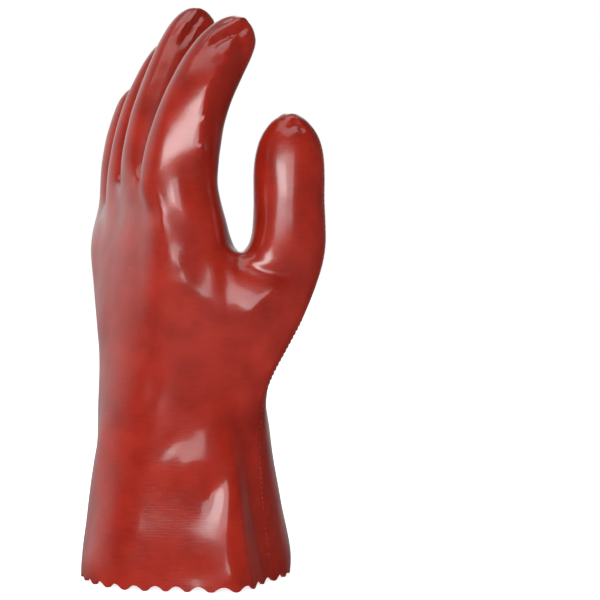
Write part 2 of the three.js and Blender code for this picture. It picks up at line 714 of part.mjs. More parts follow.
function toGeometry(solid) {
  const mesh = solid.getMesh();
  const geometry = new THREE.BufferGeometry();
  const positions = [];
  for (let i = 0; i < mesh.vertProperties.length; i += mesh.numProp) {
    positions.push(...mesh.vertProperties.slice(i, i + 3));
  }
  geometry.setAttribute('position', new THREE.Float32BufferAttribute(positions, 3));
  geometry.setIndex([...mesh.triVerts]);
  geometry.computeVertexNormals();
  return geometry;
}

function gloveShell() {
  const surface = dentSkin(toLimit(subdivide(gloveCage())));
  const walled = toSolid(geometryOf(thicken(surface, WALL)));
  const geometry = toGeometry(walled.subtract(toSolid(hemCutter())));
  geometry.computeBoundingBox();
  const { min, max } = geometry.boundingBox;
  geometry.translate(-(min.x + max.x) / 2, -(min.y + max.y) / 2, -min.z);
  const material = new THREE.MeshStandardMaterial({ color: GLOVE_RED, roughness: 0.3, metalness: 0 });
  const mesh = new THREE.Mesh(geometry, material);
  mesh.name = 'glove_shell';
  return mesh;
}

const glove = new THREE.Group();
glove.add(gloveShell());

export default glove;
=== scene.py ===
"""A dipped work glove for the left hand, standing on its cuff: skin, hem, finish, floor, light and camera.

The form is worked out in millimetres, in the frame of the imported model: +Z up to the fingertips, +X to the
thumb side, +Y to the palm. A coarse cage of quads is rounded by a subdivision surface, pushed into its dents,
folds and seams, given its wall, and cut to a pinked hem.
"""

import logging
import math
from dataclasses import dataclass, field
from enum import Enum, IntEnum

import bmesh
import bpy
import numpy as np
from mathutils import Matrix, Vector, noise
from mathutils.bvhtree import BVHTree
from mathutils.kdtree import KDTree


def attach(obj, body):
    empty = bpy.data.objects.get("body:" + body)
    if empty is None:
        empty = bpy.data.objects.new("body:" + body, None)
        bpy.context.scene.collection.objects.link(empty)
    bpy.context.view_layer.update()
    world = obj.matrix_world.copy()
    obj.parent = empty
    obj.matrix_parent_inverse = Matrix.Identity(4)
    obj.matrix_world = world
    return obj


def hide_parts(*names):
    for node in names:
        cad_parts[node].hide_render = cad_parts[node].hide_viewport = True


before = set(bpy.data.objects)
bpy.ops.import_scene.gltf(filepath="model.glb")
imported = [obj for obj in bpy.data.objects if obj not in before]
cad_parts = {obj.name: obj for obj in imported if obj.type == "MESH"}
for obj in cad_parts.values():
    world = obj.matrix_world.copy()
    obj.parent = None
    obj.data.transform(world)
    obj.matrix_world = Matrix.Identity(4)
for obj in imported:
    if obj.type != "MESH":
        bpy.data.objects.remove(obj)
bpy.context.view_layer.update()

logging.basicConfig(level=logging.INFO, format="%(message)s")
LOG = logging.getLogger("glove")

MM = 0.001
NODE = "glove_shell"
PUCKERS = "puckers"
DOUBLES_WITHIN = 1e-6
WHITE = (1.0, 1.0, 1.0, 1.0)

Point = np.ndarray


class Limb(Enum):
    """The parts of the hand that a place on the skin is named by."""

    HAND = "hand"
    PINKY = "pinky"
    RING = "ring"
    MIDDLE = "middle"
    INDEX = "index"
    THUMB = "thumb"


class Side(IntEnum):
    """A point of a limb's ring, counted from the thumb side by way of the palm."""

    THUMB = 0
    THUMB_PALM = 1
    PALM = 2
    ULNAR_PALM = 3
    ULNAR = 4
    ULNAR_BACK = 5
    BACK = 6
    THUMB_BACK = 7


class Profile(Enum):
    """How a fold stands over its width: a soft wave, a sharp crest, or a bent sheet's corner."""

    SOFT = "soft"
    CREST = "crest"
    CORNER = "corner"

    def height(self, share: float) -> float:
        """Returns the height at a share of the width away from the fold's line.

        Args:
            share: The distance from the fold's line, in widths.

        Returns:
            The height, 1 on the line.
        """
        if self is Profile.SOFT:
            return math.exp(-share * share)
        if self is Profile.CREST:
            return math.exp(-share)
        return max(0.0, 1.0 - share) ** 2


def unit(vector: Point) -> Point:
    """Returns the vector at length one."""
    return vector / np.linalg.norm(vector)


def mix(low: float, high: float, share: float) -> float:
    """Returns the value at a share of the way from low to high."""
    return low + (high - low) * share


def smooth(share: np.ndarray) -> np.ndarray:
    """Eases shares from 0 to 1 with flat ends."""
    share = np.clip(share, 0.0, 1.0)
    return share * share * (3.0 - 2.0 * share)


def direction_of(azimuth: float, elevation: float = 0.0) -> Vector:
    """Returns the direction from the glove to what stands at an azimuth and an elevation in degrees."""
    turn, lift = math.radians(azimuth), math.radians(elevation)
    return Vector((math.sin(turn) * math.cos(lift), -math.cos(turn) * math.cos(lift), math.sin(lift)))


def read_rows(items: bpy.types.bpy_prop_collection, name: str) -> np.ndarray:
    """Returns a vector of every item of a mesh, a row for each.

    Args:
        items: The mesh's items, such as its vertices.
        name: The property to read.

    Returns:
        A row of three numbers for each item.
    """
    values = np.zeros(len(items) * 3)
    items.foreach_get(name, values)
    return values.reshape(-1, 3)


class Cage:
    """Named points and quads of the coarse form."""

    def __init__(self) -> None:
        """Starts with nothing placed."""
        self.names: dict[str, int] = {}
        self.points: list[Point] = []
        self.quads: list[list[int]] = []

    def place(self, name: str, point: Point) -> None:
        """Places a named point, or moves it.

        Args:
            name: The point's name.
            point: Where it goes, in mm.
        """
        if name not in self.names:
            self.names[name] = len(self.points)
            self.points.append(np.zeros(3))
        self.points[self.names[name]] = np.array(point, float)

    def at(self, name: str) -> Point:
        """Returns a named point."""
        return self.points[self.names[name]]

    def quad(self, *names: str) -> None:
        """Adds a quad between four named points."""
        self.quads.append([self.names[name] for name in names])

    def join(self, lower: list[str], upper: list[str]) -> None:
        """Joins two rings of points by quads that face out.

        Args:
            lower: The names of the first ring, in order.
            upper: The names of the next ring, in the same order.
        """
        for i, name in enumerate(lower):
            following = (i + 1) % len(lower)
            self.quad(name, lower[following], upper[following], upper[i])

    def close(self, ring: list[str], tip: str) -> None:
        """Closes a ring of eight with four quads round its tip."""
        for i in range(1, len(ring), 2):
            self.quad(ring[i - 1], ring[i], ring[(i + 1) % len(ring)], tip)

    def neighbours(self) -> list[set[int]]:
        """Returns the points that share an edge with each point.

        Returns:
            A set of point numbers for each point.
        """
        found: list[set[int]] = [set() for _ in self.points]
        for quad in self.quads:
            for a, b in zip(quad, quad[1:] + quad[:1]):
                found[a].add(b)
                found[b].add(a)
        return found


@dataclass(frozen=True)
class CuffSection:
    """A section of the cuff: shares of its length, its flare, the hem's shift and its pressed edges."""

    up: float
    across: float
    deep: float
    side: float
    pressed: float


@dataclass(frozen=True)
class PalmSection:
    """A section of the palm: shares of its length, the knuckles' size and shifts, and the knuckle arch."""

    up: float
    across: float
    deep: float
    ulnar: float
    back: float
    flat: float
    arch: float


@dataclass(frozen=True)
class Finger:
    """A finger: its length in mm, its place and thickness as shares of the knuckles', its bend in degrees."""

    limb: Limb
    length: float
    across: float
    deep: float
    rise: float
    width: float
    depth: float
    tip_width: float
    tip_depth: float
    lean_base: float
    lean_tip: float
    splay: float


@dataclass(frozen=True)
class ThumbRing:
    """A ring of the thumb: at is a share of its length, crown and side of half its width."""

    at: float
    crown: float
    side: float
    full: float


@dataclass(frozen=True)
class MouthPoint:
    """A point of the palm that the thumb's first ring meets, moved by shares of half the thumb's width."""

    row: int
    column: int
    out: float
    palmar: float
    up: float


CUFF_SECTIONS = (
    CuffSection(up=0, across=1, deep=1, side=1, pressed=1),
    CuffSection(up=0.11, across=0.62, deep=1.14, side=1.4, pressed=1),
    CuffSection(up=0.38, across=0.18, deep=0.67, side=0.8, pressed=0.9),
    CuffSection(up=0.69, across=0.12, deep=0.28, side=0.45, pressed=0.45),
    CuffSection(up=1, across=0, deep=0, side=0, pressed=0),
)
PALM_SECTIONS = (
    PalmSection(up=0.185, across=0.22, deep=0.22, ulnar=0.28, back=0.14, flat=0.2, arch=0),
    PalmSection(up=0.425, across=0.45, deep=0.54, ulnar=0.72, back=0.66, flat=0.5, arch=0),
    PalmSection(up=0.73, across=0.72, deep=0.87, ulnar=1.1, back=1.05, flat=0.8, arch=0.6),
    PalmSection(up=0.86, across=1, deep=1, ulnar=0.96, back=0.96, flat=0.95, arch=0.85),
)
FINGERS = (
    Finger(
        limb=Limb.PINKY, length=60.5, across=-0.9, deep=0.02, rise=-0.885, width=0.86, depth=0.81,
        tip_width=0.81, tip_depth=0.78, lean_base=0, lean_tip=30.5, splay=-6.5,
    ),
    Finger(
        limb=Limb.RING, length=79, across=-0.47, deep=-0.105, rise=-0.515, width=0.89, depth=0.96,
        tip_width=0.77, tip_depth=0.79, lean_base=6, lean_tip=36.5, splay=-5.5,
    ),
    Finger(
        limb=Limb.MIDDLE, length=86.5, across=0.025, deep=-0.18, rise=0.105, width=1, depth=1,
        tip_width=0.91, tip_depth=0.97, lean_base=14, lean_tip=39, splay=-9,
    ),
    Finger(
        limb=Limb.INDEX, length=89, across=0.57, deep=-0.115, rise=-0.34, width=1.18, depth=1.41,
        tip_width=1.06, tip_depth=1.02, lean_base=0, lean_tip=49.5, splay=1,
    ),
)
FINGER_RINGS = ((0.1, 1.0), (0.32, 1.0), (0.56, 1.0), (0.8, 0.98), (0.955, 0.7))
THUMB_RINGS = (
    ThumbRing(at=0.16, crown=1.44, side=1.03, full=1),
    ThumbRing(at=0.34, crown=1.035, side=1.03, full=1),
    ThumbRing(at=0.52, crown=0.93, side=0.95, full=1),
    ThumbRing(at=0.7, crown=0.99, side=0.81, full=1),
    ThumbRing(at=0.86, crown=0.87, side=0.7, full=1),
    ThumbRing(at=0.965, crown=0.62, side=0.5, full=0.78),
)
THUMB_MOUTH = (
    MouthPoint(row=7, column=1, out=-0.38, palmar=0.05, up=0.14),
    MouthPoint(row=7, column=0, out=-0.32, palmar=0.43, up=0.12),
    MouthPoint(row=6, column=0, out=0.05, palmar=0.38, up=-0.02),
    MouthPoint(row=5, column=0, out=0.34, palmar=0.57, up=-0.28),
    MouthPoint(row=5, column=1, out=0.68, palmar=0.97, up=-0.64),
    MouthPoint(row=5, column=2, out=0.36, palmar=0.78, up=-0.27),
    MouthPoint(row=6, column=2, out=-0.24, palmar=0.26, up=-0.03),
    MouthPoint(row=7, column=2, out=-0.38, palmar=-0.1, up=-0.1),
)

COLUMNS = 20
RING_POINTS = len(Side)
ULNAR_COLUMN = COLUMNS // 2
KNUCKLE_ROW = len(CUFF_SECTIONS) + len(PALM_SECTIONS)
LAST_FINGER = len(FINGERS) - 1
HAND_ACROSS = (-0.96, -0.74, -0.49, -0.25, 0.0, 0.25, 0.49, 0.74, 0.96)


def swell(count: int) -> float:
    """How far outside its limit surface an evenly spaced ring of cage points lies, as a factor."""
    return 3.0 / (2.0 + math.cos(2.0 * math.pi / count))


def skin(row: int, column: int) -> str:
    """Names a point of the hand's skin."""
    return f"skin {row} {column % COLUMNS}"


def palm_side(j: int) -> str:
    """Names a point of the knuckle row on the palm, counted from the little finger."""
    return skin(KNUCKLE_ROW, ULNAR_COLUMN - 1 - j)


def back_side(j: int) -> str:
    """Names a point of the knuckle row on the back, counted from the little finger."""
    return skin(KNUCKLE_ROW, ULNAR_COLUMN + 1 + j)


def finger_of(limb: Limb) -> Finger:
    """Returns the sizes of a finger."""
    return next(finger for finger in FINGERS if finger.limb is limb)


@dataclass
class HandForm:
    """The smooth form of the glove: its sizes in millimetres, and the cage that has them."""

    cuff_length: float = 84.0
    hem_width: float = 94.0
    hem_depth: float = 101.5
    hem_shift: float = 3.3
    cuff_corner: float = 11.0
    cuff_edge: float = 6.0
    wrist_width: float = 82.0
    wrist_depth: float = 80.5
    palm_length: float = 108.0
    knuckle_width: float = 105.5
    knuckle_depth: float = 42.5
    knuckle_arch: float = 19.0
    knuckle_shift_ulnar: float = 5.0
    knuckle_shift_back: float = 8.5
    finger_width: float = 25.2
    finger_depth: float = 27.2
    thumb_length: float = 95.5
    thumb_width: float = 35.0
    thumb_across: float = 0.86
    thumb_deep: float = 0.53
    thumb_up: float = 0.456
    thumb_heading: float = 57.5
    thumb_root_angle: float = 8.0
    thumb_tip_angle: float = 90.0
    thumb_bend_ends_at: float = 0.41
    fingertip_dome: float = 2.0
    crotch_drop: float = 4.0
    dip_share: float = 0.75
    taper_ends_at: float = 0.8
    hem_trim: float = 2.0
    hand_corner: float = 0.62
    hand_valley: float = 0.97
    hand_edge: float = 1.06
    eased_rows: tuple[int, ...] = (4, 5, 6, 7, 8)
    eased_columns: tuple[int, ...] = (-1, 0, 1, 2, 3)
    easing_passes: int = 2
    walk_steps: int = 12
    dome_from: float = 0.88
    cage: Cage = field(default_factory=Cage)
    shift: Point = field(default_factory=lambda: np.zeros(3))

    @property
    def knuckle_height(self) -> float:
        """Height of the knuckles over the hem."""
        return self.cuff_length + self.palm_length

    def round_section(self, column: int) -> Point:
        """Returns a point of a round section of half size one."""
        turn = 2.0 * math.pi * column / COLUMNS
        return np.array([math.cos(turn), math.sin(turn)]) * swell(COLUMNS)

    def hand_section(self, column: int) -> Point:
        """Returns a point of a hand's section at the knuckles, of half size one.

        Args:
            column: The cage's column.

        Returns:
            The place across and through the hand, in half sizes.
        """
        if column == 0:
            return np.array([self.hand_edge, 0.0])
        if column == ULNAR_COLUMN:
            return np.array([-self.hand_edge, 0.0])
        side = 1.0 if column < ULNAR_COLUMN else -1.0
        j = abs(column - ULNAR_COLUMN) - 1
        bulge = self.hand_valley if j % 2 == 0 else 1.0
        if j in (0, len(HAND_ACROSS) - 1):
            bulge = self.hand_corner
        return np.array([HAND_ACROSS[j], side * bulge])

    def arch_at(self, column: int) -> float:
        """Returns the height of the knuckle line over a column, above the height of the knuckles.

        Args:
            column: The cage's column.

        Returns:
            The height, in mm.
        """
        j = abs(ULNAR_COLUMN - (COLUMNS if column == 0 else column)) - 1
        place = min(max((j - 1) / 2.0, 0.0), float(LAST_FINGER))
        lower = min(int(place), LAST_FINGER - 1)
        return self.knuckle_arch * mix(FINGERS[lower].rise, FINGERS[lower + 1].rise, place - lower)

    def cuff_point(self, section: CuffSection, column: int) -> Point:
        """Returns a cage point of the cuff.

        Args:
            section: The cuff's cross-section.
            column: The cage's column.

        Returns:
            The point, in mm.
        """
        across, deep = self.round_section(column)
        pressed = {0: self.cuff_corner, ULNAR_COLUMN: -self.cuff_edge}.get(column, 0.0) * section.pressed
        half_width = mix(self.wrist_width, self.hem_width, section.across) / 2
        return np.array([
            self.hem_shift * section.side + across * half_width + pressed,
            deep * mix(self.wrist_depth, self.hem_depth, section.deep) / 2,
            -self.hem_trim if section.up == 0 else self.cuff_length * section.up,
        ])

    def palm_point(self, section: PalmSection, column: int) -> Point:
        """Returns a cage point of the palm.

        Args:
            section: The palm's cross-section.
            column: The cage's column.

        Returns:
            The point, in mm.
        """
        across, deep = mix(self.round_section(column), self.hand_section(column), section.flat)
        width = mix(self.wrist_width, self.knuckle_width, section.across)
        depth = mix(self.wrist_depth, self.knuckle_depth, section.deep)
        return np.array([
            -self.knuckle_shift_ulnar * section.ulnar + across * width / 2,
            -self.knuckle_shift_back * section.back + deep * depth / 2,
            self.cuff_length + self.palm_length * section.up + self.arch_at(column) * section.arch,
        ])

    def finger_base(self, finger: Finger) -> Point:
        """Returns the middle of a finger's base.

        Args:
            finger: The finger.

        Returns:
            The point, in mm.
        """
        return np.array([
            -self.knuckle_shift_ulnar + finger.across * self.knuckle_width / 2,
            -self.knuckle_shift_back + finger.deep * self.knuckle_depth,
            self.knuckle_height + finger.rise * self.knuckle_arch,
        ])

    def finger_directions(self, finger: Finger, share: float) -> tuple[Point, Point, Point]:
        """Returns the directions along, across and through a finger at a share of its length.

        Args:
            finger: The finger.
            share: A share of its length, from its root.

        Returns:
            Three unit directions: along, across and through it.
        """
        lean = math.radians(mix(finger.lean_base, finger.lean_tip, share))
        splay = math.radians(finger.splay)
        along = unit(np.array([
            math.sin(splay), math.sin(lean) * math.cos(splay), math.cos(lean) * math.cos(splay),
        ]))
        across = unit(np.array([1.0, 0.0, 0.0]) - along * along[0])
        return along, across, np.cross(along, across)

    def thumb_directions(self, share: float) -> tuple[Point, Point, Point]:
        """Returns the directions along the thumb, to its crown and to its side at a share of its length.

        Args:
            share: A share of its length, from its root.

        Returns:
            Three unit directions: along it, to its crown and to its side.
        """
        left = 1.0 - min(1.0, share / self.thumb_bend_ends_at)
        angle = math.radians(mix(self.thumb_root_angle, self.thumb_tip_angle, 1.0 - left * left))
        heading = math.radians(self.thumb_heading)
        ahead = np.array([math.cos(heading), math.sin(heading), 0.0])
        up = np.array([0.0, 0.0, 1.0])
        along = ahead * math.cos(angle) + up * math.sin(angle)
        crown = up * math.cos(angle) - ahead * math.sin(angle)
        return along, crown, np.array([math.sin(heading), -math.cos(heading), 0.0])

    def thumb_root(self) -> Point:
        """Returns the point where the thumb's middle line starts.

        Returns:
            The point, in mm.
        """
        return np.array([
            self.thumb_across * self.wrist_width / 2,
            self.thumb_deep * self.wrist_depth / 2,
            self.cuff_length + self.thumb_up * self.palm_length,
        ])

    def directions(self, limb: Limb, share: float) -> tuple[Point, Point, Point]:
        """Returns three directions of a finger or the thumb, the first one along it.

        Args:
            limb: A finger or the thumb.
            share: A share of its length, from its root.

        Returns:
            Three unit directions, square to each other.
        """
        if limb is Limb.THUMB:
            return self.thumb_directions(share)
        return self.finger_directions(finger_of(limb), share)

    def walk(self, limb: Limb, share: float) -> Point:
        """Returns the point of a bending limb's middle line at a share of its length.

        Args:
            limb: A finger or the thumb.
            share: A share of its length, from its root.

        Returns:
            The point, in mm.
        """
        if limb is Limb.THUMB:
            point, length = self.thumb_root(), self.thumb_length
        else:
            point, length = self.finger_base(finger_of(limb)), finger_of(limb).length
        step = share / self.walk_steps
        for i in range(self.walk_steps):
            point = point + self.directions(limb, step * (i + 0.5))[0] * (length * step)
        return point

    def ring(self, centre: Point, first: Point, second: Point) -> list[Point]:
        """Returns eight points round a centre, in the plane of two directions.

        Args:
            centre: The ring's middle.
            first: From the middle to where the rounded skin passes the first point.
            second: From the middle to where it passes the third point.

        Returns:
            The points, in order.
        """
        points = []
        for k in range(RING_POINTS):
            turn = 2.0 * math.pi * k / RING_POINTS
            points.append(centre + (first * math.cos(turn) + second * math.sin(turn)) * swell(RING_POINTS))
        return points

    def finger_ring(self, finger: Finger, at: float, full: float) -> list[Point]:
        """Returns the ring of a finger at a share of its length.

        Args:
            finger: The finger.
            at: A share of its length, from its root.
            full: A factor on its width and depth there.

        Returns:
            The ring's points, in order.
        """
        _, across, deep = self.finger_directions(finger, at)
        taper = min(1.0, at / self.taper_ends_at)
        width = self.finger_width * mix(finger.width, finger.tip_width, taper) * full
        depth = self.finger_depth * mix(finger.depth, finger.tip_depth, taper) * full
        return self.ring(self.walk(finger.limb, at), across * width / 2, deep * depth / 2)

    def build_skin(self) -> None:
        """Places the rows of the cuff and palm, with the thumb's mouth drawn out."""
        for column in range(COLUMNS):
            for row, section in enumerate(CUFF_SECTIONS):
                self.cage.place(skin(row, column), self.cuff_point(section, column))
            for row, section in enumerate(PALM_SECTIONS, len(CUFF_SECTIONS)):
                self.cage.place(skin(row, column), self.palm_point(section, column))
        reach = self.thumb_width / 2
        for mouth in THUMB_MOUTH:
            name = skin(mouth.row, mouth.column)
            self.cage.place(name, self.cage.at(name) + np.array([mouth.out, mouth.palmar, mouth.up]) * reach)

    def build_knuckles(self) -> None:
        """Places the last row, which the fingers share, with a web point in each crotch."""
        bases = [self.finger_ring(finger, 0.0, 1.0) for finger in FINGERS]
        self.cage.place(skin(KNUCKLE_ROW, 0), bases[LAST_FINGER][Side.THUMB])
        self.cage.place(skin(KNUCKLE_ROW, ULNAR_COLUMN), bases[0][Side.ULNAR])
        self.cage.place(palm_side(0), bases[0][Side.ULNAR_PALM])
        self.cage.place(back_side(0), bases[0][Side.ULNAR_BACK])
        self.cage.place(palm_side(2 * LAST_FINGER + 2), bases[LAST_FINGER][Side.THUMB_PALM])
        self.cage.place(back_side(2 * LAST_FINGER + 2), bases[LAST_FINGER][Side.THUMB_BACK])
        for i, base in enumerate(bases):
            self.cage.place(palm_side(2 * i + 1), base[Side.PALM])
            self.cage.place(back_side(2 * i + 1), base[Side.BACK])
        drop = np.array([0.0, 0.0, self.crotch_drop])
        for gap in range(1, len(FINGERS)):
            lower, upper = bases[gap - 1], bases[gap]
            palmar = (lower[Side.THUMB_PALM] + upper[Side.ULNAR_PALM]) / 2
            dorsal = (lower[Side.THUMB_BACK] + upper[Side.ULNAR_BACK]) / 2
            self.cage.place(f"web {gap}", (lower[Side.THUMB] + upper[Side.ULNAR]) / 2 - drop)
            self.cage.place(palm_side(2 * gap), palmar - drop * self.dip_share)
            self.cage.place(back_side(2 * gap), dorsal - drop * self.dip_share)

    def build_limb(self, name: str, start: list[str], rings: list[list[Point]], tip: Point) -> None:
        """Adds rings and a closing tip to a limb, from the ring of names that it starts on.

        Args:
            name: What the limb's points are named after.
            start: The names of the ring that it starts on.
            rings: The points of each further ring, from the root.
            tip: The point that closes it.
        """
        lower = start
        for r, points in enumerate(rings):
            upper = [f"{name} {r} {k}" for k in range(len(points))]
            for key, point in zip(upper, points):
                self.cage.place(key, point)
            self.cage.join(lower, upper)
            lower = upper
        self.cage.place(f"{name} tip", tip)
        self.cage.close(lower, f"{name} tip")

    def tip_of(self, limb: Limb) -> Point:
        """Returns the cage point at a limb's tip."""
        return self.walk(limb, 1.0) + self.directions(limb, 1.0)[0] * self.fingertip_dome

    def build_fingers(self) -> None:
        """Grows the four fingers from the knuckle row."""
        for i, finger in enumerate(FINGERS):
            thumb_side = skin(KNUCKLE_ROW, 0) if i == LAST_FINGER else f"web {i + 1}"
            ulnar_side = skin(KNUCKLE_ROW, ULNAR_COLUMN) if i == 0 else f"web {i}"
            start = [
                thumb_side, palm_side(2 * i + 2), palm_side(2 * i + 1), palm_side(2 * i),
                ulnar_side, back_side(2 * i), back_side(2 * i + 1), back_side(2 * i + 2),
            ]
            rings = [self.finger_ring(finger, at, full) for at, full in FINGER_RINGS]
            self.build_limb(finger.limb.value, start, rings, self.tip_of(finger.limb))

    def build_thumb(self) -> None:
        """Grows the thumb from its mouth in the side of the palm."""
        rings = []
        for ring in THUMB_RINGS:
            _, crown, side = self.thumb_directions(ring.at)
            half = self.thumb_width / 2 * ring.full
            centre = self.walk(Limb.THUMB, ring.at)
            rings.append(self.ring(centre, crown * half * ring.crown, side * half * ring.side))
        start = [skin(mouth.row, mouth.column) for mouth in THUMB_MOUTH]
        self.build_limb(Limb.THUMB.value, start, rings, self.tip_of(Limb.THUMB))

    def join_skin(self) -> None:
        """Adds the quads between the rows of the skin, left out where the thumb grows."""
        rows = [mouth.row for mouth in THUMB_MOUTH]
        columns = [mouth.column for mouth in THUMB_MOUTH]
        for row in range(KNUCKLE_ROW):
            for column in range(COLUMNS):
                if min(rows) <= row < max(rows) and min(columns) <= column < max(columns):
                    continue
                lower = (skin(row, column), skin(row, column + 1))
                self.cage.quad(*lower, skin(row + 1, column + 1), skin(row + 1, column))

    def ease_thumb_mouth(self) -> None:
        """Moves the points round the thumb's mouth half way to the middle of their neighbours."""
        names = [skin(row, column) for row in self.eased_rows for column in self.eased_columns]
        names += [f"{Limb.THUMB.value} 0 {k}" for k in range(RING_POINTS)]
        around = self.cage.neighbours()
        eased = [self.cage.names[name] for name in names if around[self.cage.names[name]]]
        for _ in range(self.easing_passes):
            middles = [np.mean([self.cage.points[n] for n in around[i]], axis=0) for i in eased]
            for i, middle in zip(eased, middles):
                self.cage.points[i] = (self.cage.points[i] + middle) / 2

    def build(self) -> "HandForm":
        """Builds the whole cage.

        Returns:
            The form itself, with its cage filled.
        """
        self.build_skin()
        self.build_knuckles()
        self.join_skin()
        self.build_fingers()
        self.build_thumb()
        self.ease_thumb_mouth()
        return self

    def middle_of_hand(self, height: float) -> Point:
        """Returns the middle of the cuff or palm at a height.

        Args:
            height: The height, in mm.

        Returns:
            The point, in mm.
        """
        heights = [self.cuff_length * section.up for section in CUFF_SECTIONS]
        heights += [self.cuff_length + self.palm_length * section.up for section in PALM_SECTIONS]
        across = [self.hem_shift * section.side for section in CUFF_SECTIONS]
        across += [-self.knuckle_shift_ulnar * section.ulnar for section in PALM_SECTIONS]
        deep = [0.0] * len(CUFF_SECTIONS)
        deep += [-self.knuckle_shift_back * section.back for section in PALM_SECTIONS]
        return np.array([np.interp(height, heights, across), np.interp(height, heights, deep), height])

    def sight(self, limb: Limb, along: float, turn: float) -> tuple[Point, Point]:
        """Returns the start and direction of the line that meets the skin at a named place.

        Args:
            limb: The part of the hand.
            along: A share of the limb's length, or of the knuckles' height on the hand.
            turn: Degrees from the thumb side towards the palm.

        Returns:
            A point inside the limb and the direction to the skin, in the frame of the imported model.
        """
        outward = np.array([math.cos(math.radians(turn)), math.sin(math.radians(turn)), 0.0])
        if limb is Limb.HAND:
            return self.middle_of_hand(self.knuckle_height * along) + self.shift, outward
        share = min(along, self.dome_from)
        along_limb = self.directions(limb, share)[0]
        outward = unit(outward - along_limb * (outward @ along_limb))
        lift = max(0.0, along - self.dome_from) / (1.0 - self.dome_from) * math.pi / 2
        return self.walk(limb, share) + self.shift, outward * math.cos(lift) + along_limb * math.sin(lift)


@dataclass(frozen=True)
class Dent:
    """A soft hollow or swelling, in mm: half sizes along and across the limb, push out, slant in degrees."""

    along: float
    turn: float
    tall: float
    wide: float
    push: float
    slant: float = 0.0
    limb: Limb = Limb.HAND


@dataclass(frozen=True)
class Ridge:
    """A fold through stops of (along, turn), in mm: its half width and push, and how its ends fade."""

    stops: tuple[tuple[float, float], ...]
    width: float
    push: float
    profile: Profile = Profile.SOFT
    fade_start: float = 0.22
    fade_end: float = 0.22
    limb: Limb = Limb.HAND


@dataclass(frozen=True)
class Ruffle:
    """A patch of fine wrinkles round a place, in mm: its radius, the wrinkles' spacing and their push."""

    limb: Limb
    along: float
    turn: float
    radius: float
    spacing: float
    push: float


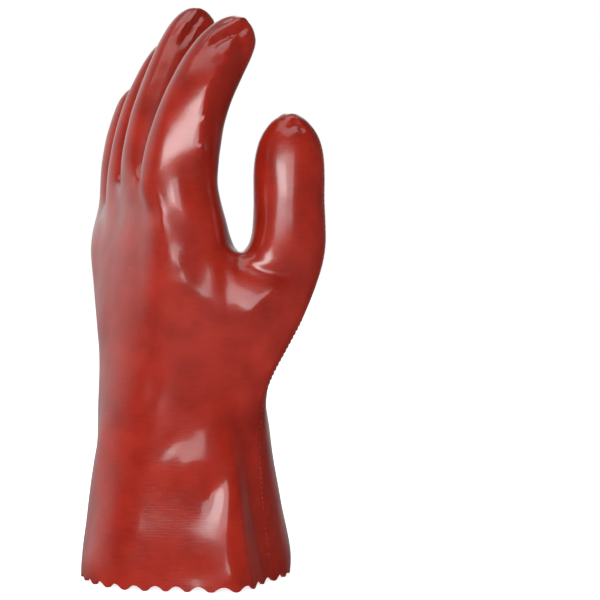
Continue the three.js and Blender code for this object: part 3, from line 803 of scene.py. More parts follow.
class Skin:
    """The fine outer skin, with the places on it and what pushes it out or in. All in millimetres."""

    facing_margin: float = 0.1
    facing_span: float = 0.6
    fold_step: float = 0.8
    fold_reach: float = 3.0
    wrinkles_face: float = -0.2
    wrinkle_depth: float = 2.2

    def __init__(self, form: HandForm, mesh: bpy.types.Mesh) -> None:
        """Reads the smooth skin.

        Args:
            form: The form that the skin was rounded from.
            mesh: The rounded skin, in metres.
        """
        self.form = form
        self.mesh = mesh
        self.points = read_rows(mesh.vertices, "co") / MM
        self.normals = read_rows(mesh.vertex_normals, "vector")
        self.offsets = np.zeros(len(mesh.vertices))
        self.puckers = np.zeros(len(mesh.vertices))
        self.faces = [list(face.vertices) for face in mesh.polygons]
        self.tree = BVHTree.FromPolygons([tuple(p) for p in self.points], self.faces)

    def place(self, limb: Limb, along: float, turn: float) -> tuple[Point, Point]:
        """Returns the point of the skin at a named place and the normal there.

        Args:
            limb: The part of the hand.
            along: A share of the limb's length, or of the knuckles' height on the hand.
            turn: Degrees from the thumb side towards the palm.

        Returns:
            The point, in mm, and the normal.

        Raises:
            ValueError: If the line of sight meets no skin.
        """
        start, direction = self.form.sight(limb, along, turn)
        found, normal, _, _ = self.tree.ray_cast(Vector(start), Vector(direction))
        if found is None:
            raise ValueError(f"no skin at {limb.value} {along} {turn}")
        return np.array(found), np.array(normal)

    def path(self, limb: Limb, stops: tuple[tuple[float, float], ...], spacing: float) -> np.ndarray:
        """Returns points on the skin along a line of stops, about a spacing apart.

        Args:
            limb: The part of the hand.
            stops: The places that the line passes, each along and round the limb.
            spacing: The distance between points, in mm.

        Returns:
            A row for each point, in mm.
        """
        points = []
        for (along_a, turn_a), (along_b, turn_b) in zip(stops, stops[1:]):
            ends = [self.place(limb, along_a, turn_a)[0], self.place(limb, along_b, turn_b)[0]]
            steps = max(1, round(float(np.linalg.norm(ends[1] - ends[0])) / spacing))
            for share in np.arange(steps) / steps:
                points.append(self.place(limb, mix(along_a, along_b, share), mix(turn_a, turn_b, share))[0])
        points.append(self.place(limb, *stops[-1])[0])
        return np.array(points)

    def press(self, dent: Dent) -> None:
        """Pushes a dent into the skin.

        Args:
            dent: The dent's place, size and push.
        """
        centre, normal = self.place(dent.limb, dent.along, dent.turn)
        limb_up = np.array([0.0, 0.0, 1.0])
        if dent.limb is not Limb.HAND:
            limb_up = self.form.directions(dent.limb, min(1.0, dent.along))[0]
        across = unit(np.cross(limb_up, normal))
        tall = unit(np.cross(normal, across))
        slant = math.radians(dent.slant)
        long_way = tall * math.cos(slant) + across * math.sin(slant)
        short_way = across * math.cos(slant) - tall * math.sin(slant)
        reach = self.points - centre
        size = (reach @ long_way / dent.tall) ** 2 + (reach @ short_way / dent.wide) ** 2
        size += (reach @ normal / max(dent.tall, dent.wide)) ** 2
        facing = smooth((self.normals @ normal + self.facing_margin) / self.facing_span)
        self.offsets += dent.push * np.exp(-size) * facing

    def fold(self, ridge: Ridge) -> None:
        """Raises a ridge or presses a groove along its stops, fading out at its ends.

        Args:
            ridge: The ridge's stops, width and push.
        """
        line = self.path(ridge.limb, ridge.stops, self.fold_step)
        tree = KDTree(len(line))
        for i, point in enumerate(line):
            tree.insert(Vector(point), i)
        tree.balance()
        reach = self.fold_reach * ridge.width
        near = (self.points > line.min(0) - reach) & (self.points < line.max(0) + reach)
        last = len(line) - 1
        for i in np.where(near.all(1))[0]:
            _, place, distance = tree.find(Vector(self.points[i]))
            if distance > reach:
                continue
            shape = ridge.profile.height(distance / ridge.width)
            start = smooth(np.array((place + 1) / (1 + ridge.fade_start * last)))
            end = smooth(np.array((last - place + 1) / (1 + ridge.fade_end * last)))
            self.offsets[i] += ridge.push * shape * float(start * end)

    def ruffle(self, patch: Ruffle) -> None:
        """Wrinkles the skin round a place.

        Args:
            patch: The patch's place, radius and spacing.
        """
        centre, normal = self.place(patch.limb, patch.along, patch.turn)
        distance = np.linalg.norm(self.points - centre, axis=1)
        for i in np.where(distance < patch.radius)[0]:
            if self.normals[i] @ normal < self.wrinkles_face:
                continue
            wrinkle = noise.noise(Vector(self.points[i] / patch.spacing))
            share = float(smooth(np.array(1.0 - distance[i] / patch.radius)))
            self.offsets[i] += patch.push * share * (1.0 - self.wrinkle_depth * abs(wrinkle))
            self.puckers[i] = max(self.puckers[i], share)

    def waver(self, spacing: float, push: float, seed: float) -> None:
        """Lets the whole skin waver softly in and out."""
        for i, point in enumerate(self.points):
            self.offsets[i] += push * noise.noise(Vector(point / spacing) + Vector((seed, 0.0, 0.0)))

    def apply(self) -> None:
        """Moves the mesh's points by what was pushed, in metres."""
        self.points = self.points + self.normals * self.offsets[:, None]
        self.mesh.vertices.foreach_set("co", (self.points * MM).ravel())
        puckers = self.mesh.attributes.new(PUCKERS, "FLOAT", "POINT")
        puckers.data.foreach_set("value", self.puckers)
        self.mesh.update()
        self.tree = BVHTree.FromPolygons([tuple(p) for p in self.points], self.faces)


class Nodes:
    """The nodes of one tree, added by their type and joined by their sockets."""

    def __init__(self, tree: bpy.types.NodeTree) -> None:
        """Takes a tree to add to."""
        self.tree = tree

    def feed(self, node: bpy.types.Node, key: int | str, value: object) -> None:
        """Links one input of a node to a socket or to another node's first output, or sets its value.

        Args:
            node: The node.
            key: The input's name or number.
            value: A socket, a node or a plain value.
        """
        if isinstance(value, bpy.types.Node):
            value = value.outputs[0]
        if isinstance(value, bpy.types.NodeSocket):
            self.tree.links.new(value, node.inputs[key])
        else:
            node.inputs[key].default_value = value

    def add(self, kind: str, inputs: dict | None = None, **settings: object) -> bpy.types.Node:
        """Adds a node, and links or sets its inputs.

        Args:
            kind: The node's type.
            inputs: What goes into each input, by its name or number: a node, a socket or a value.
            **settings: The node's own properties.

        Returns:
            The node.
        """
        node = self.tree.nodes.new(kind)
        for name, value in settings.items():
            setattr(node, name, value)
        for key, value in (inputs or {}).items():
            self.feed(node, key, value)
        return node

    def math(self, operation: str, *values: object) -> bpy.types.Node:
        """Adds a math node."""
        return self.add("ShaderNodeMath", dict(enumerate(values)), operation=operation)

    def scaled(self, value: object, source: tuple, target: tuple, soft: bool = False) -> bpy.types.Node:
        """Adds a node that takes a value from one range to another.

        Args:
            value: The node or socket that it reads.
            source: The range's two ends before.
            target: The range's two ends after.
            soft: Whether it eases at both ends.

        Returns:
            The node.
        """
        ends = dict(zip(("From Min", "From Max", "To Min", "To Max"), (*source, *target)))
        easing = "SMOOTHSTEP" if soft else "LINEAR"
        return self.add("ShaderNodeMapRange", {"Value": value, **ends}, interpolation_type=easing)


class NodeTree(Nodes):
    """A geometry node tree that is built by name, with named inputs."""

    def __init__(self, name: str, material: bpy.types.Material) -> None:
        """Starts a tree.

        Args:
            name: The tree's name.
            material: What its result is finished with.
        """
        super().__init__(bpy.data.node_groups.new(name, "GeometryNodeTree"))
        self.material = material
        self.identifiers: dict[str, str] = {}
        self.values: dict[str, float] = {}
        for way in ("INPUT", "OUTPUT"):
            self.tree.interface.new_socket("Geometry", in_out=way, socket_type="NodeSocketGeometry")
        self.entry = self.tree.nodes.new("NodeGroupInput")
        self.exit = self.tree.nodes.new("NodeGroupOutput")

    def size(self, name: str, value: float) -> bpy.types.NodeSocket:
        """Adds a named input and returns where its value comes out.

        Args:
            name: The input's name.
            value: What it is set to; a whole number makes a whole-number input.

        Returns:
            The socket that gives the value.
        """
        kind = "NodeSocketInt" if isinstance(value, int) else "NodeSocketFloat"
        socket = self.tree.interface.new_socket(name, in_out="INPUT", socket_type=kind)
        self.identifiers[name] = socket.identifier
        self.values[name] = value
        return next(out for out in self.entry.outputs if out.identifier == socket.identifier)

    def finish(self, geometry: bpy.types.Node) -> None:
        """Ends the tree in realized instances with the material set.

        Args:
            geometry: The node whose result the tree gives.
        """
        realized = self.add("GeometryNodeRealizeInstances", {"Geometry": geometry})
        dressed = self.add("GeometryNodeSetMaterial", {"Geometry": realized, "Material": self.material})
        self.feed(self.exit, 0, dressed)

    def run_on(self, base: bpy.types.Object, name: str) -> bpy.types.Object:
        """Runs the tree on an object and returns the result as a plain mesh object.

        Args:
            base: What the tree starts from. It is removed.
            name: The new object's name.

        Returns:
            The new object, at the origin.
        """
        modifier = base.modifiers.new("shape", "NODES")
        modifier.node_group = self.tree
        for key, identifier in self.identifiers.items():
            modifier[identifier] = self.values[key]
        result = as_mesh(base, name)
        bpy.data.objects.remove(base)
        return result


def link(thing: bpy.types.Object) -> bpy.types.Object:
    """Puts an object in the scene and returns it."""
    bpy.context.scene.collection.objects.link(thing)
    return thing


def as_mesh(source: bpy.types.Object, name: str) -> bpy.types.Object:
    """Returns a new object that holds what another looks like with its modifiers applied.

    Args:
        source: The object to read.
        name: The new object's name.

    Returns:
        The new object.
    """
    bpy.context.view_layer.update()
    evaluated = source.evaluated_get(bpy.context.evaluated_depsgraph_get())
    mesh = bpy.data.meshes.new_from_object(evaluated)
    mesh.name = name
    return link(bpy.data.objects.new(name, mesh))


DENTS = (
    # The cuff, and the sides away from the thumb.
    Dent(along=0.5, turn=-43, tall=9, wide=5, push=-1.1, slant=12),
    Dent(along=0.42, turn=-38, tall=14, wide=9, push=1.0, slant=12),
    Dent(along=0.345, turn=-36, tall=8, wide=3, push=-0.45, slant=35),
    Dent(along=0.29, turn=-25, tall=8, wide=3, push=0.45, slant=35),
    Dent(along=0.25, turn=-31, tall=5, wide=3, push=-0.5, slant=30),
    Dent(along=0.245, turn=-7, tall=10, wide=5.5, push=-1.9, slant=14),
    Dent(along=0.215, turn=-42, tall=16, wide=14, push=0.3),
    Dent(along=0.36, turn=-44, tall=14, wide=9, push=0.4),
    Dent(along=0.3, turn=-30, tall=13, wide=11, push=0.75),
    Dent(along=0.12, turn=-96, tall=16, wide=9, push=-0.96, slant=-10),
    Dent(along=0.34, turn=-112, tall=18, wide=8, push=-1.12, slant=15),
    Dent(along=0.3, turn=100, tall=14, wide=10, push=-1.28, slant=20),
    Dent(along=0.46, turn=78, tall=8, wide=18, push=-1.12),
    Dent(along=0.72, turn=100, tall=16, wide=12, push=-1.44, slant=-20),
    Dent(along=0.03, turn=-40, tall=13, wide=14, push=-2.0),
    Dent(along=0.045, turn=-19, tall=7, wide=8, push=-1.2, slant=20),
    Dent(along=0.03, turn=0, tall=7, wide=6, push=0.9, slant=10),
    # The thumb's side of the hand and the cuff.
    Dent(along=0.67, turn=4, tall=24, wide=14, push=4.6),
    Dent(along=0.68, turn=19, tall=18, wide=14, push=2.0),
    Dent(along=0.2, turn=3, tall=16, wide=7, push=1.2),
    Dent(along=0.755, turn=20, tall=13, wide=9, push=1.3),
    Dent(along=0.78, turn=-17, tall=12, wide=7, push=0.9),
    Dent(along=0.945, turn=-21, tall=8, wide=8, push=0.6),
    Dent(along=0.74, turn=-3, tall=14, wide=10, push=0.8),
    Dent(along=0.757, turn=-19, tall=15, wide=9, push=2.0),
    Dent(along=0.945, turn=-27, tall=10, wide=6.5, push=-1.5),
    Dent(along=0.99, turn=-53, tall=2.6, wide=1.7, push=0.9),
    Dent(along=0.5, turn=10, tall=12, wide=8, push=-1.0),
    Dent(along=0.787, turn=17.5, tall=2.8, wide=1.4, push=-1.1, slant=20),
    Dent(along=0.772, turn=13, tall=3, wide=2, push=0.6),
    # The thumb, and what shows at the fingertips.
    Dent(along=0.68, turn=-36, tall=14, wide=12, push=1.0, limb=Limb.THUMB),
    Dent(along=0.815, turn=-23, tall=3.6, wide=2.2, push=1.2, limb=Limb.INDEX),
    Dent(along=0.735, turn=-28, tall=4.5, wide=3, push=1.0, limb=Limb.INDEX),
    Dent(along=0.748, turn=-24, tall=3.4, wide=2, push=0.8, limb=Limb.MIDDLE),
    Dent(along=0.83, turn=-18, tall=3, wide=2, push=0.8, limb=Limb.MIDDLE),
    Dent(along=0.9, turn=-14, tall=3, wide=2, push=0.7, limb=Limb.MIDDLE),
)
RIDGES = (
    # The cuff's pressed edge on the thumb side, the hollow beside it, and the edge opposite.
    Ridge(
        stops=((0.36, 2), (0.27, 6), (0.18, 5.6), (0.1, 6.8), (0, 9.4)),
        width=3.6, push=1.6, profile=Profile.CREST, fade_end=0,
    ),
    Ridge(
        stops=((0.6, 5), (0.53, 5.2), (0.47, 7), (0.38, 13), (0.29, 20), (0.21, 24), (0, 30)),
        width=6, push=-1.3, fade_end=0,
    ),
    Ridge(stops=((0.5, 28), (0.39, 29.5), (0.3, 31)), width=1.3, push=0.5),
    Ridge(
        stops=((0.36, 180), (0.18, 182), (0, 184)), width=4.5, push=1.9, profile=Profile.CREST, fade_end=0,
    ),
    # The line from the index finger's side down to the thumb's web.
    Ridge(
        stops=((0.83, 4), (0.72, -11), (0.54, -18), (0.4, -5), (0.22, 3), (0.06, -6)),
        width=14, push=4.2, profile=Profile.CORNER, fade_start=0.15, limb=Limb.INDEX,
    ),
    Ridge(
        stops=((0.98, -30), (0.95, -28), (0.91, -25), (0.89, -24), (0.85, -20), (0.8, -18), (0.77, -13)),
        width=4.5, push=0.8, profile=Profile.CORNER,
    ),
    Ridge(stops=((0.76, -17), (0.736, -12.5), (0.71, -6.5), (0.685, -1.5)), width=4.5, push=0.8),
    Ridge(stops=((0.8, 9), (0.77, 8.5), (0.74, 8), (0.7, 7.5), (0.64, 6), (0.58, 6)), width=3, push=-0.5),
    Ridge(stops=((0.8, 2), (0.78, 4), (0.75, 4.4)), width=1.6, push=0.5),
    # The folds at the thumb's root.
    Ridge(
        stops=((0.15, -90), (0.16, -80), (0.19, -59), (0.23, -27), (0.26, -10)),
        width=2.4, push=-1.2, limb=Limb.THUMB,
    ),
    Ridge(
        stops=((0.755, 28), (0.726, 25.6), (0.694, 21), (0.666, 16.4), (0.65, 12)),
        width=13, push=3.3, profile=Profile.CORNER,
    ),
    # The puckers at the fingertips.
    Ridge(
        stops=((0.68, -60), (0.8, -66), (0.86, -55), (0.92, -47), (0.98, -40)),
        width=1.8, push=1.2, limb=Limb.INDEX,
    ),
    Ridge(
        stops=((0.7, -48), (0.76, -50), (0.815, -38), (0.88, -26), (0.95, -20)),
        width=2, push=-1.9, limb=Limb.INDEX,
    ),
    Ridge(stops=((0.8, -10), (0.87, -8), (0.95, -10)), width=1.5, push=-0.9, limb=Limb.INDEX),
    Ridge(
        stops=((0.7, -52), (0.78, -50), (0.86, -46), (0.95, -44)), width=1.8, push=1.1, limb=Limb.MIDDLE,
    ),
    Ridge(
        stops=((0.68, -34), (0.78, -36), (0.86, -31), (0.95, -28)), width=1.9, push=-1.8, limb=Limb.MIDDLE,
    ),
    Ridge(stops=((0.74, -11), (0.83, -8), (0.95, -6)), width=1.5, push=-0.9, limb=Limb.MIDDLE),
    Ridge(stops=((0.94, -50), (0.965, 0), (0.93, 27)), width=2, push=0.7, limb=Limb.THUMB),
    Ridge(stops=((0.905, -36), (0.93, -3), (0.895, 15)), width=1.7, push=-1.1, limb=Limb.THUMB),
)


@dataclass
class GloveShell:
    """The glove's skin with its wall, seams, dents and pinked hem."""

    wall: float = 1.6
    levels: int = 3
    tooth_count: int = 30
    tooth_depth: float = 2.4
    tooth_land: float = 2.0
    tooth_steps: int = 16
    cutter_reach: float = 14.0
    oval_steps: int = 512
    tip_seam: tuple[tuple[float, float], ...] = ((0.3, 180), (0.6, 178), (0.88, 176), (1.0, 176))
    tip_seam_width: float = 1.5
    tip_seam_push: float = 0.55
    tip_wrinkles: float = 4.5
    tip_push: float = 0.4
    sharp_degrees: float = 42.0

    def rounded(self, form: HandForm) -> bpy.types.Object:
        """Rounds the form's cage to a fine skin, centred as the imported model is.

        Args:
            form: The form to round.

        Returns:
            The skin's object, without its wall.
        """
        mesh = bpy.data.meshes.new("cage")
        used = sorted({i for quad in form.cage.quads for i in quad})
        place = {old: new for new, old in enumerate(used)}
        points = [tuple(form.cage.points[i] * MM) for i in used]
        mesh.from_pydata(points, [], [[place[i] for i in quad] for quad in form.cage.quads])
        cage = link(bpy.data.objects.new("cage", mesh))
        rounding = cage.modifiers.new("rounding", "SUBSURF")
        rounding.levels = self.levels
        rounding.render_levels = self.levels
        rounding.use_limit_surface = True
        rounding.boundary_smooth = "ALL"
        skin_object = as_mesh(cage, NODE + "_skin")
        bpy.data.objects.remove(cage)
        points = read_rows(skin_object.data.vertices, "co")
        kept = points[points[:, 2] > 0]
        form.shift = -(kept.min(0) + kept.max(0)) / 2 / MM
        form.shift[2] = 0.0
        skin_object.data.transform(Matrix.Translation(Vector(form.shift * MM)))
        return skin_object

    def relief(self, surface: Skin) -> None:
        """Gives the skin its dents, folds, seams and wrinkles.

        Args:
            surface: The skin to work on.
        """
        for dent in DENTS:
            surface.press(dent)
        for ridge in RIDGES:
            surface.fold(ridge)
        tips = {"spacing": self.tip_wrinkles, "push": self.tip_push}
        for finger in FINGERS:
            seam = Ridge(self.tip_seam, self.tip_seam_width, self.tip_seam_push, limb=finger.limb)
            surface.fold(seam)
            surface.ruffle(Ruffle(limb=finger.limb, along=0.97, turn=-20, radius=17, **tips))
        surface.ruffle(Ruffle(limb=Limb.THUMB, along=0.99, turn=0, radius=13, **tips))
        surface.waver(spacing=24.0, push=0.5, seed=3.0)
        surface.waver(spacing=9.0, push=0.14, seed=11.0)
        surface.apply()

    def thicken(self, skin_object: bpy.types.Object) -> None:
        """Adds the modifier that gives the skin its wall, inwards.

        Args:
            skin_object: The skin's object.
        """
        wall = skin_object.modifiers.new("wall", "SOLIDIFY")
        wall.thickness = self.wall * MM
        wall.offset = -1.0
        wall.use_rim = True
        wall.material_offset = 1
        wall.material_offset_rim = 0

    def hem_cutter(self, form: HandForm, material: bpy.types.Material) -> bpy.types.Object:
        """Makes the ring under the hem whose top is the pinked line, with geometry nodes.

        Args:
            form: The form whose hem is cut.
            material: What the cutter is finished with.

        Returns:
            The cutter's object.
        """
        nodes = NodeTree("pinked_hem", material)
        half_width = nodes.size("Half Width", form.hem_width / 2 * MM)
        half_depth = nodes.size("Half Depth", form.hem_depth / 2 * MM)
        teeth = nodes.size("Teeth", self.tooth_count)
        steps = nodes.size("Steps Per Tooth", self.tooth_steps)
        tooth_depth = nodes.size("Tooth Depth", self.tooth_depth * MM)
        pitch = math.pi * (form.hem_width + form.hem_depth) / 2 / self.tooth_count
        land = nodes.size("Half Land", self.tooth_land / pitch / 2)
        reach = nodes.size("Cutter Size", 2 * self.cutter_reach * MM)
        below = nodes.size("Cutter Bottom", -self.cutter_reach * MM)
        side = nodes.size("Side Shift", (form.hem_shift + form.shift[0]) * MM)
        palmar = nodes.size("Palm Shift", form.shift[1] * MM)

        circle = nodes.add("GeometryNodeCurvePrimitiveCircle", {"Resolution": self.oval_steps, "Radius": 1.0})
        oval = nodes.add("ShaderNodeCombineXYZ", {"X": half_width, "Y": half_depth})
        here = nodes.add("GeometryNodeInputPosition")
        sized = nodes.add("ShaderNodeVectorMath", {0: here, 1: oval}, operation="MULTIPLY")
        middle = nodes.add("ShaderNodeCombineXYZ", {"X": side, "Y": palmar})
        placed = nodes.add("ShaderNodeVectorMath", {0: sized, 1: middle}, operation="ADD")
        shaped = nodes.add("GeometryNodeSetPosition", {"Geometry": circle, "Position": placed})
        count = nodes.math("MULTIPLY", teeth, steps)
        even = nodes.add("GeometryNodeResampleCurve", {"Curve": shaped, "Count": count}, mode="COUNT")
        away = nodes.math("PINGPONG", nodes.math("DIVIDE", nodes.add("GeometryNodeInputIndex"), steps), 0.5)
        past = nodes.scaled(away, (land, 0.5), (0.0, 1.0))
        rise = nodes.math("SINE", nodes.math("MULTIPLY", past, math.pi / 2))
        held = nodes.add("GeometryNodeCaptureAttribute", {"Geometry": even})
        held.capture_items.new("FLOAT", "height")
        nodes.feed(held, "height", nodes.math("MULTIPLY", rise, tooth_depth))
        profile = nodes.add("GeometryNodeCurvePrimitiveQuadrilateral", {"Width": reach, "Height": reach})
        ring = nodes.add("GeometryNodeCurveToMesh", {"Curve": held, "Profile Curve": profile})
        apart = nodes.add("ShaderNodeSeparateXYZ", {0: here})
        upper = nodes.math("GREATER_THAN", apart.outputs["Z"], 0.0)
        levels = {"Switch": upper, "False": below, "True": held.outputs["height"]}
        level = nodes.add("GeometryNodeSwitch", levels, input_type="FLOAT")
        parts = {"X": apart.outputs["X"], "Y": apart.outputs["Y"], "Z": level}
        spot = nodes.add("ShaderNodeCombineXYZ", parts)
        nodes.finish(nodes.add("GeometryNodeSetPosition", {"Geometry": ring, "Position": spot}))
        base = link(bpy.data.objects.new("cutter_base", bpy.data.meshes.new("cutter_base")))
        cutter = nodes.run_on(base, "hem_cutter")
        face_out(cutter.data)
        return cutter

    def build(
        self, form: HandForm, outside: bpy.types.Material, inside: bpy.types.Material,
    ) -> tuple[bpy.types.Object, Skin]:
        """Builds the shell.

        Args:
            form: The glove's smooth form.
            outside: The finish of the coating.
            inside: The finish of the wall that faces the hand.

        Returns:
            The finished object and its outer skin, for the places on it.
        """
        skin_object = self.rounded(form)
        skin_object.data.materials.append(outside)
        skin_object.data.materials.append(inside)
        surface = Skin(form, skin_object.data)
        self.relief(surface)
        self.thicken(skin_object)
        cutter = self.hem_cutter(form, outside)
        cut = skin_object.modifiers.new("hem", "BOOLEAN")
        cut.operation = "DIFFERENCE"
        cut.solver = "EXACT"
        cut.object = cutter
        shell = as_mesh(skin_object, "glove_shell_dressed")
        bpy.data.objects.remove(skin_object)
        bpy.data.objects.remove(cutter)
        tidy_cut(shell.data, self.sharp_degrees)
        return shell, surface


def face_out(mesh: bpy.types.Mesh) -> None:
    """Turns a closed mesh's faces outwards, with its doubles merged first.

    Args:
        mesh: The mesh to turn.
    """
    work = bmesh.new()
    work.from_mesh(mesh)
    bmesh.ops.remove_doubles(work, verts=work.verts, dist=DOUBLES_WITHIN)
    bmesh.ops.recalc_face_normals(work, faces=work.faces)
    work.to_mesh(mesh)
    work.free()


def tidy_cut(mesh: bpy.types.Mesh, sharp_degrees: float) -> None:
    """Splits the many-sided faces that the cut left, and shades the skin smooth with a sharp rim.

    Args:
        mesh: The mesh that was cut.
        sharp_degrees: The angle from which an edge stays sharp.
    """
    work = bmesh.new()
    work.from_mesh(mesh)
    bmesh.ops.dissolve_degenerate(work, dist=DOUBLES_WITHIN, edges=work.edges)
    bmesh.ops.triangulate(work, faces=[face for face in work.faces if len(face.verts) > 4])
    work.to_mesh(mesh)
    work.free()
    mesh.shade_smooth()
    mesh.set_sharp_from_angle(angle=math.radians(sharp_degrees))


@dataclass
class SeamStitches:
    """The stitches of the liner's seam that show through the coating, down the thumb to the hem."""

    pitch: float = 2.4
    length: float = 0.9
    thick: float = 0.32
    bead_segments: int = 10
    bead_rings: int = 6
    path_step: float = 2.0
    thumb_stops: tuple[tuple[float, float], ...] = ((0.9, 48), (0.7, 48), (0.5, 48), (0.34, 46))
    cuff_stops: tuple[tuple[float, float], ...] = ((0.5, 34), (0.39, 32), (0.2, 33), (0.03, 34))

    def path(self, surface: Skin) -> np.ndarray:
        """Returns the seam's points on the skin.

        Args:
            surface: The skin that the seam follows.

        Returns:
            A row for each point, in mm.
        """
        thumb = surface.path(Limb.THUMB, self.thumb_stops, self.path_step)
        cuff = surface.path(Limb.HAND, self.cuff_stops, self.path_step)
        steps = max(1, round(float(np.linalg.norm(cuff[0] - thumb[-1])) / self.path_step))
        between = [Vector(mix(thumb[-1], cuff[0], share)) for share in np.arange(1, steps) / steps]
        bridge = [np.array(surface.tree.find_nearest(point)[0]) for point in between]
        return np.vstack([thumb, np.array(bridge).reshape(-1, 3), cuff])

    def build(self, surface: Skin, finish: bpy.types.Material) -> bpy.types.Object:
        """Builds the stitches with geometry nodes along the seam.

        Args:
            surface: The outer skin that the seam follows.
            finish: The finish of the coating.

        Returns:
            The stitches as one mesh object.
        """
        points = self.path(surface) * MM
        curve = bpy.data.curves.new("seam", "CURVE")
        curve.dimensions = "3D"
        spline = curve.splines.new("POLY")
        spline.points.add(len(points) - 1)
        for spline_point, point in zip(spline.points, points):
            spline_point.co = (*point, 1.0)
        base = link(bpy.data.objects.new("seam", curve))
        nodes = NodeTree("seam_stitches", finish)
        pitch = nodes.size("Pitch", self.pitch * MM)
        length = nodes.size("Stitch Length", self.length * MM)
        thick = nodes.size("Stitch Thickness", self.thick * MM)
        line = {"Curve": nodes.entry, "Length": pitch}
        spaced = nodes.add("GeometryNodeResampleCurve", line, mode="LENGTH")
        roundness = {"Segments": self.bead_segments, "Rings": self.bead_rings, "Radius": 1.0}
        bead = nodes.add("GeometryNodeMeshUVSphere", roundness)
        tangent = nodes.add("GeometryNodeInputTangent")
        turned = nodes.add("FunctionNodeAlignRotationToVector", {"Vector": tangent}, axis="Z")
        sizes = nodes.add("ShaderNodeCombineXYZ", {"X": thick, "Y": thick, "Z": length})
        parts = {"Points": spaced, "Instance": bead, "Rotation": turned, "Scale": sizes}
        nodes.finish(nodes.add("GeometryNodeInstanceOnPoints", parts))
        stitches = nodes.run_on(base, "seam_stitches")
        stitches.data.shade_smooth()
        return stitches


class Shader(Nodes):
    """A material's nodes round its Principled shader, on object coordinates."""

    def __init__(self, name: str) -> None:
        """Starts a material.

        Args:
            name: The material's name.
        """
        self.material = bpy.data.materials.new(name)
        self.material.use_nodes = True
        super().__init__(self.material.node_tree)
        self.body = next(node for node in self.tree.nodes if node.type == "BSDF_PRINCIPLED")

    def place(self) -> bpy.types.NodeSocket:
        """Returns the place on the object."""
        return self.add("ShaderNodeTexCoord").outputs["Object"]

    def finish(self, values: dict[str, object]) -> bpy.types.Material:
        """Links or sets the Principled shader's inputs and returns the material.

        Args:
            values: What goes into each input, by its name.

        Returns:
            The material.
        """
        for name, value in values.items():
            self.feed(self.body, name, value)
        return self.material

    def blended(self, value: object, stops: tuple[tuple[float, tuple], ...]) -> bpy.types.Node:
        """Adds a blend between two colours, each with its place.

        Args:
            value: The node or socket that it reads.
            stops: The two colours, each after its place.

        Returns:
            The node.
        """
        ramp = self.add("ShaderNodeValToRGB", {"Fac": value})
        for element, (place, colour) in zip(ramp.color_ramp.elements, stops):
            element.position = place
            element.color = colour
        return ramp

    def courses(self, pitch: float, inputs: dict[str, float]) -> bpy.types.Node:
        """Adds the knit's courses, level bands a pitch in mm apart."""
        inputs = {"Vector": self.place(), "Scale": 1.0 / (pitch * MM) / math.tau * 2, **inputs}
        return self.add("ShaderNodeTexWave", inputs, wave_type="BANDS", bands_direction="Z")

    def bump(self, height: object, distance: object, under: object = None) -> bpy.types.Node:
        """Adds a bump over another one; a plain distance is in mm.

        Args:
            height: The pattern whose height is read.
            distance: How far a height of one stands out.
            under: The bump that it is laid over.

        Returns:
            The node.
        """
        inputs = {"Height": height, "Distance": distance * MM if isinstance(distance, float) else distance}
        if under is not None:
            inputs["Normal"] = under
        return self.add("ShaderNodeBump", inputs)


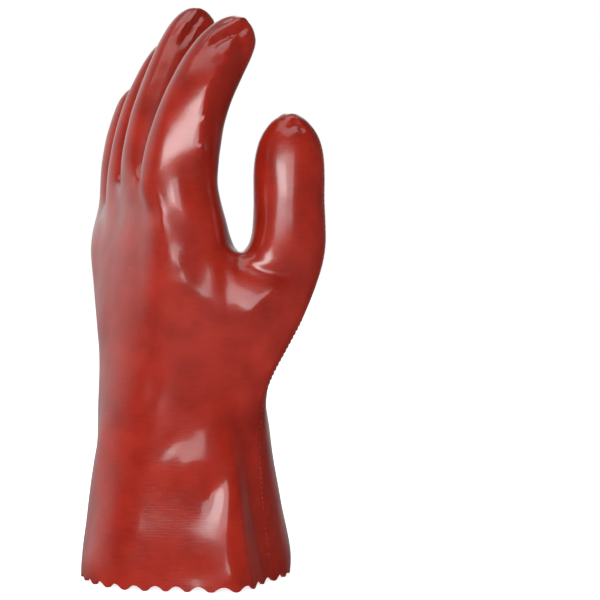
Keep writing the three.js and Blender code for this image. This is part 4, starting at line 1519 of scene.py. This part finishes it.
@dataclass(frozen=True)
class PvcCoating:
    """Glossy oxide red soft plastic over a fine knit, with flow marks and a faint mottle."""

    deep_colour: tuple[float, float, float, float] = (0.235, 0.0095, 0.0035, 1.0)
    light_colour: tuple[float, float, float, float] = (0.35, 0.0165, 0.006, 1.0)
    deep_until: float = 0.35
    light_from: float = 0.65
    roughness: float = 0.3
    roughness_spread: float = 0.1
    coat: float = 0.6
    coat_roughness: float = 0.12
    cuff_coat: float = 0.85
    specular: float = 0.5
    cuff_specular: float = 0.22
    dull_below: float = 60.0
    glossy_above: float = 130.0
    mottle_per_metre: float = 60.0
    streaks_per_metre: tuple[float, float, float] = (170.0, 170.0, 900.0)
    streak_share: float = 0.25
    flow_per_metre: float = 160.0
    puckers_per_metre: float = 380.0
    course_pitch: float = 1.25
    knit_height: float = 0.008
    flow_height: float = 0.06
    streak_height: float = 0.02
    cuff_streak_height: float = 0.08
    pucker_height: float = 0.6

    def build(self) -> bpy.types.Material:
        """Builds the material.

        Returns:
            The material.
        """
        shader = Shader("pvc_coating")
        place = shader.place()
        noise_of = "ShaderNodeTexNoise"
        mottle = shader.add(noise_of, {"Vector": place, "Scale": self.mottle_per_metre, "Detail": 5.0})
        drawn = shader.add("ShaderNodeMapping", {"Vector": place, "Scale": self.streaks_per_metre})
        streaks = shader.add(noise_of, {"Vector": drawn, "Scale": 1.0, "Detail": 3.0})
        shades = {"Factor": self.streak_share, 2: mottle, 3: streaks}
        blend = shader.add("ShaderNodeMix", shades, data_type="FLOAT")
        colours = ((self.deep_until, self.deep_colour), (self.light_from, self.light_colour))
        spread = self.roughness_spread / 2
        height = shader.add("ShaderNodeSeparateXYZ", {0: place}).outputs["Z"]
        cuff = (self.dull_below * MM, self.glossy_above * MM)
        duller = shader.scaled(height, cuff, (1.0, 0.0), soft=True)
        brushing = (self.streak_height * MM, self.cuff_streak_height * MM)
        knit = shader.courses(self.course_pitch, {"Distortion": 1.6, "Detail": 2.0, "Detail Scale": 0.6})
        fine = shader.bump(knit, self.knit_height)
        brushed = shader.bump(streaks, shader.scaled(duller, (0.0, 1.0), brushing), fine)
        flow = shader.add(noise_of, {"Vector": place, "Scale": self.flow_per_metre, "Detail": 3.0})
        flowed = shader.bump(flow, self.flow_height, brushed)
        wrinkles = {"Vector": place, "Scale": self.puckers_per_metre, "Detail": 2.0, "Distortion": 0.6}
        where = shader.add("ShaderNodeAttribute", attribute_name=PUCKERS).outputs["Fac"]
        wrinkled = shader.math("MULTIPLY", shader.add(noise_of, wrinkles), where)
        return shader.finish({
            "Base Color": shader.blended(blend, colours),
            "Roughness": shader.scaled(blend, (0.0, 1.0), (self.roughness - spread, self.roughness + spread)),
            "Specular IOR Level": shader.scaled(duller, (0.0, 1.0), (self.specular, self.cuff_specular)),
            "Coat Weight": shader.scaled(duller, (0.0, 1.0), (self.coat, self.cuff_coat)),
            "Coat Roughness": self.coat_roughness,
            "Normal": shader.bump(wrinkled, self.pucker_height, flowed),
        })


@dataclass(frozen=True)
class KnitInside:
    """The dull inner face of the wall, a fine knit that the coating has soaked into."""

    colour: tuple[float, float, float, float] = (0.42, 0.2, 0.16, 1.0)
    dark_colour: tuple[float, float, float, float] = (0.3, 0.11, 0.085, 1.0)
    roughness: float = 0.9
    course_pitch: float = 1.25
    knit_height: float = 0.25

    def build(self) -> bpy.types.Material:
        """Builds the material.

        Returns:
            The material.
        """
        shader = Shader("knit_inside")
        knit = shader.courses(self.course_pitch, {"Distortion": 2.0})
        return shader.finish({
            "Base Color": shader.blended(knit, ((0.0, self.dark_colour), (1.0, self.colour))),
            "Roughness": self.roughness,
            "Normal": shader.bump(knit, self.knit_height),
        })


@dataclass(frozen=True)
class SoftBox:
    """An area light: where it stands seen from the glove, in degrees and metres, its size and its power."""

    name: str
    azimuth: float
    elevation: float
    distance: float
    width: float
    height: float
    power: float


@dataclass
class Studio:
    """The pale floor, the soft light and the camera at the photograph's place."""

    camera_place: tuple[float, float, float] = (1051.6, -498.2, 226.5)
    camera_heading: float = 61.8
    camera_pitch: float = -4.68
    lens: float = 145.7
    sensor: float = 36.0
    aim_height: float = 140.0
    floor_size: float = 3.0
    floor_colour: tuple[float, float, float, float] = (0.92, 0.92, 0.92, 1.0)
    floor_glow: float = 0.85
    floor_roughness: float = 0.8
    backdrop: float = 1.0
    bright_side: float = 0.8
    dark_side: float = 0.08
    bright_azimuth: float = -82.0
    dark_below: float = -0.25
    bright_above: float = 0.1
    floor_reflected: float = 0.15
    turns_dark_at: float = 0.12
    turns_bright_at: float = 0.88
    dims_from: float = 0.4
    dims_until: float = 0.75
    dim_overhead: float = 0.3
    boxes: tuple[SoftBox, ...] = (
        SoftBox(name="key", azimuth=49, elevation=16, distance=1.3, width=1.3, height=0.48, power=7.8),
        SoftBox(name="key_core", azimuth=41, elevation=16, distance=1.25, width=0.6, height=0.3, power=3),
        SoftBox(name="overhead", azimuth=20, elevation=80, distance=1.2, width=1.3, height=1.3, power=8),
        SoftBox(name="rim", azimuth=-115, elevation=8, distance=2.0, width=0.5, height=1.6, power=2.4),
    )

    def build_floor(self) -> None:
        """Lays the floor, which isn't part of the object."""
        half = self.floor_size / 2
        mesh = bpy.data.meshes.new("floor")
        corners = [(-half, -half, 0), (half, -half, 0), (half, half, 0), (-half, half, 0)]
        mesh.from_pydata(corners, [], [[0, 1, 2, 3]])
        floor = link(bpy.data.objects.new("floor", mesh))
        mesh.materials.append(Shader("floor").finish({
            "Base Color": self.floor_colour,
            "Roughness": self.floor_roughness,
            "Emission Color": self.floor_colour,
            "Emission Strength": self.floor_glow,
        }))
        floor.visible_glossy = False

    def build_lights(self) -> None:
        """Hangs the soft boxes and sets the light from all round."""
        aim = Vector((0.0, 0.0, self.aim_height * MM))
        for box in self.boxes:
            light = bpy.data.lights.new(box.name, "AREA")
            light.shape = "RECTANGLE"
            light.size = box.width
            light.size_y = box.height
            light.energy = box.power
            lamp = link(bpy.data.objects.new(box.name, light))
            away = direction_of(box.azimuth, box.elevation)
            lamp.location = aim + away * box.distance
            lamp.rotation_euler = away.to_track_quat("Z", "Y").to_euler()

    def build_surroundings(self) -> None:
        """Makes the world bright behind and left of the glove, dark to its right, white where it is seen."""
        world = bpy.data.worlds.new("studio")
        bpy.context.scene.world = world
        world.use_nodes = True
        nodes = Nodes(world.node_tree)
        background = next(node for node in nodes.tree.nodes if node.type == "BACKGROUND")
        place = nodes.add("ShaderNodeTexCoord").outputs["Generated"]
        towards = {0: place, 1: direction_of(self.bright_azimuth)}
        facing = nodes.add("ShaderNodeVectorMath", towards, operation="DOT_PRODUCT").outputs["Value"]
        turns = (self.turns_dark_at, self.turns_bright_at)
        ease = nodes.scaled(facing, turns, (self.dark_side, self.bright_side), soft=True)
        height = nodes.add("ShaderNodeSeparateXYZ", {0: place}).outputs["Z"]
        low = (self.dark_below, self.bright_above)
        above = nodes.scaled(height, low, (self.floor_reflected, 1.0), soft=True)
        high = (self.dims_from, self.dims_until)
        over = nodes.scaled(height, high, (1.0, self.dim_overhead), soft=True)
        light = nodes.math("MULTIPLY", ease, nodes.math("MULTIPLY", above, over))
        seen = nodes.add("ShaderNodeLightPath").outputs["Is Camera Ray"]
        strengths = {"Factor": seen, 2: light, 3: self.backdrop}
        nodes.feed(background, "Strength", nodes.add("ShaderNodeMix", strengths, data_type="FLOAT"))
        nodes.feed(background, "Color", WHITE)

    def build_camera(self) -> None:
        """Sets the camera up where the photograph was taken from."""
        data = bpy.data.cameras.new("camera")
        data.lens = self.lens
        data.sensor_width = self.sensor
        camera = link(bpy.data.objects.new("camera", data))
        camera.location = Vector(self.camera_place) * MM
        away = direction_of(self.camera_heading, -self.camera_pitch)
        camera.rotation_euler = away.to_track_quat("Z", "Y").to_euler()
        bpy.context.scene.camera = camera

    def build(self) -> None:
        """Builds the whole studio."""
        self.build_floor()
        self.build_lights()
        self.build_surroundings()
        self.build_camera()
        bpy.context.scene.view_settings.view_transform = "Standard"


def dress(piece: bpy.types.Object) -> None:
    """Makes a piece ride with the glove and logs how many faces it has.

    Args:
        piece: The piece's object.
    """
    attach(piece, "root")
    LOG.info("%s: %d faces", piece.name, len(piece.data.polygons))


def main() -> None:
    """Builds the glove's pieces in order, then the studio."""
    coating = PvcCoating().build()
    inside = KnitInside().build()
    form = HandForm().build()
    shell, surface = GloveShell().build(form, coating, inside)
    dress(shell)
    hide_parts(NODE)
    dress(SeamStitches().build(surface, coating))
    Studio().build()


if __name__ == "__main__":
    main()
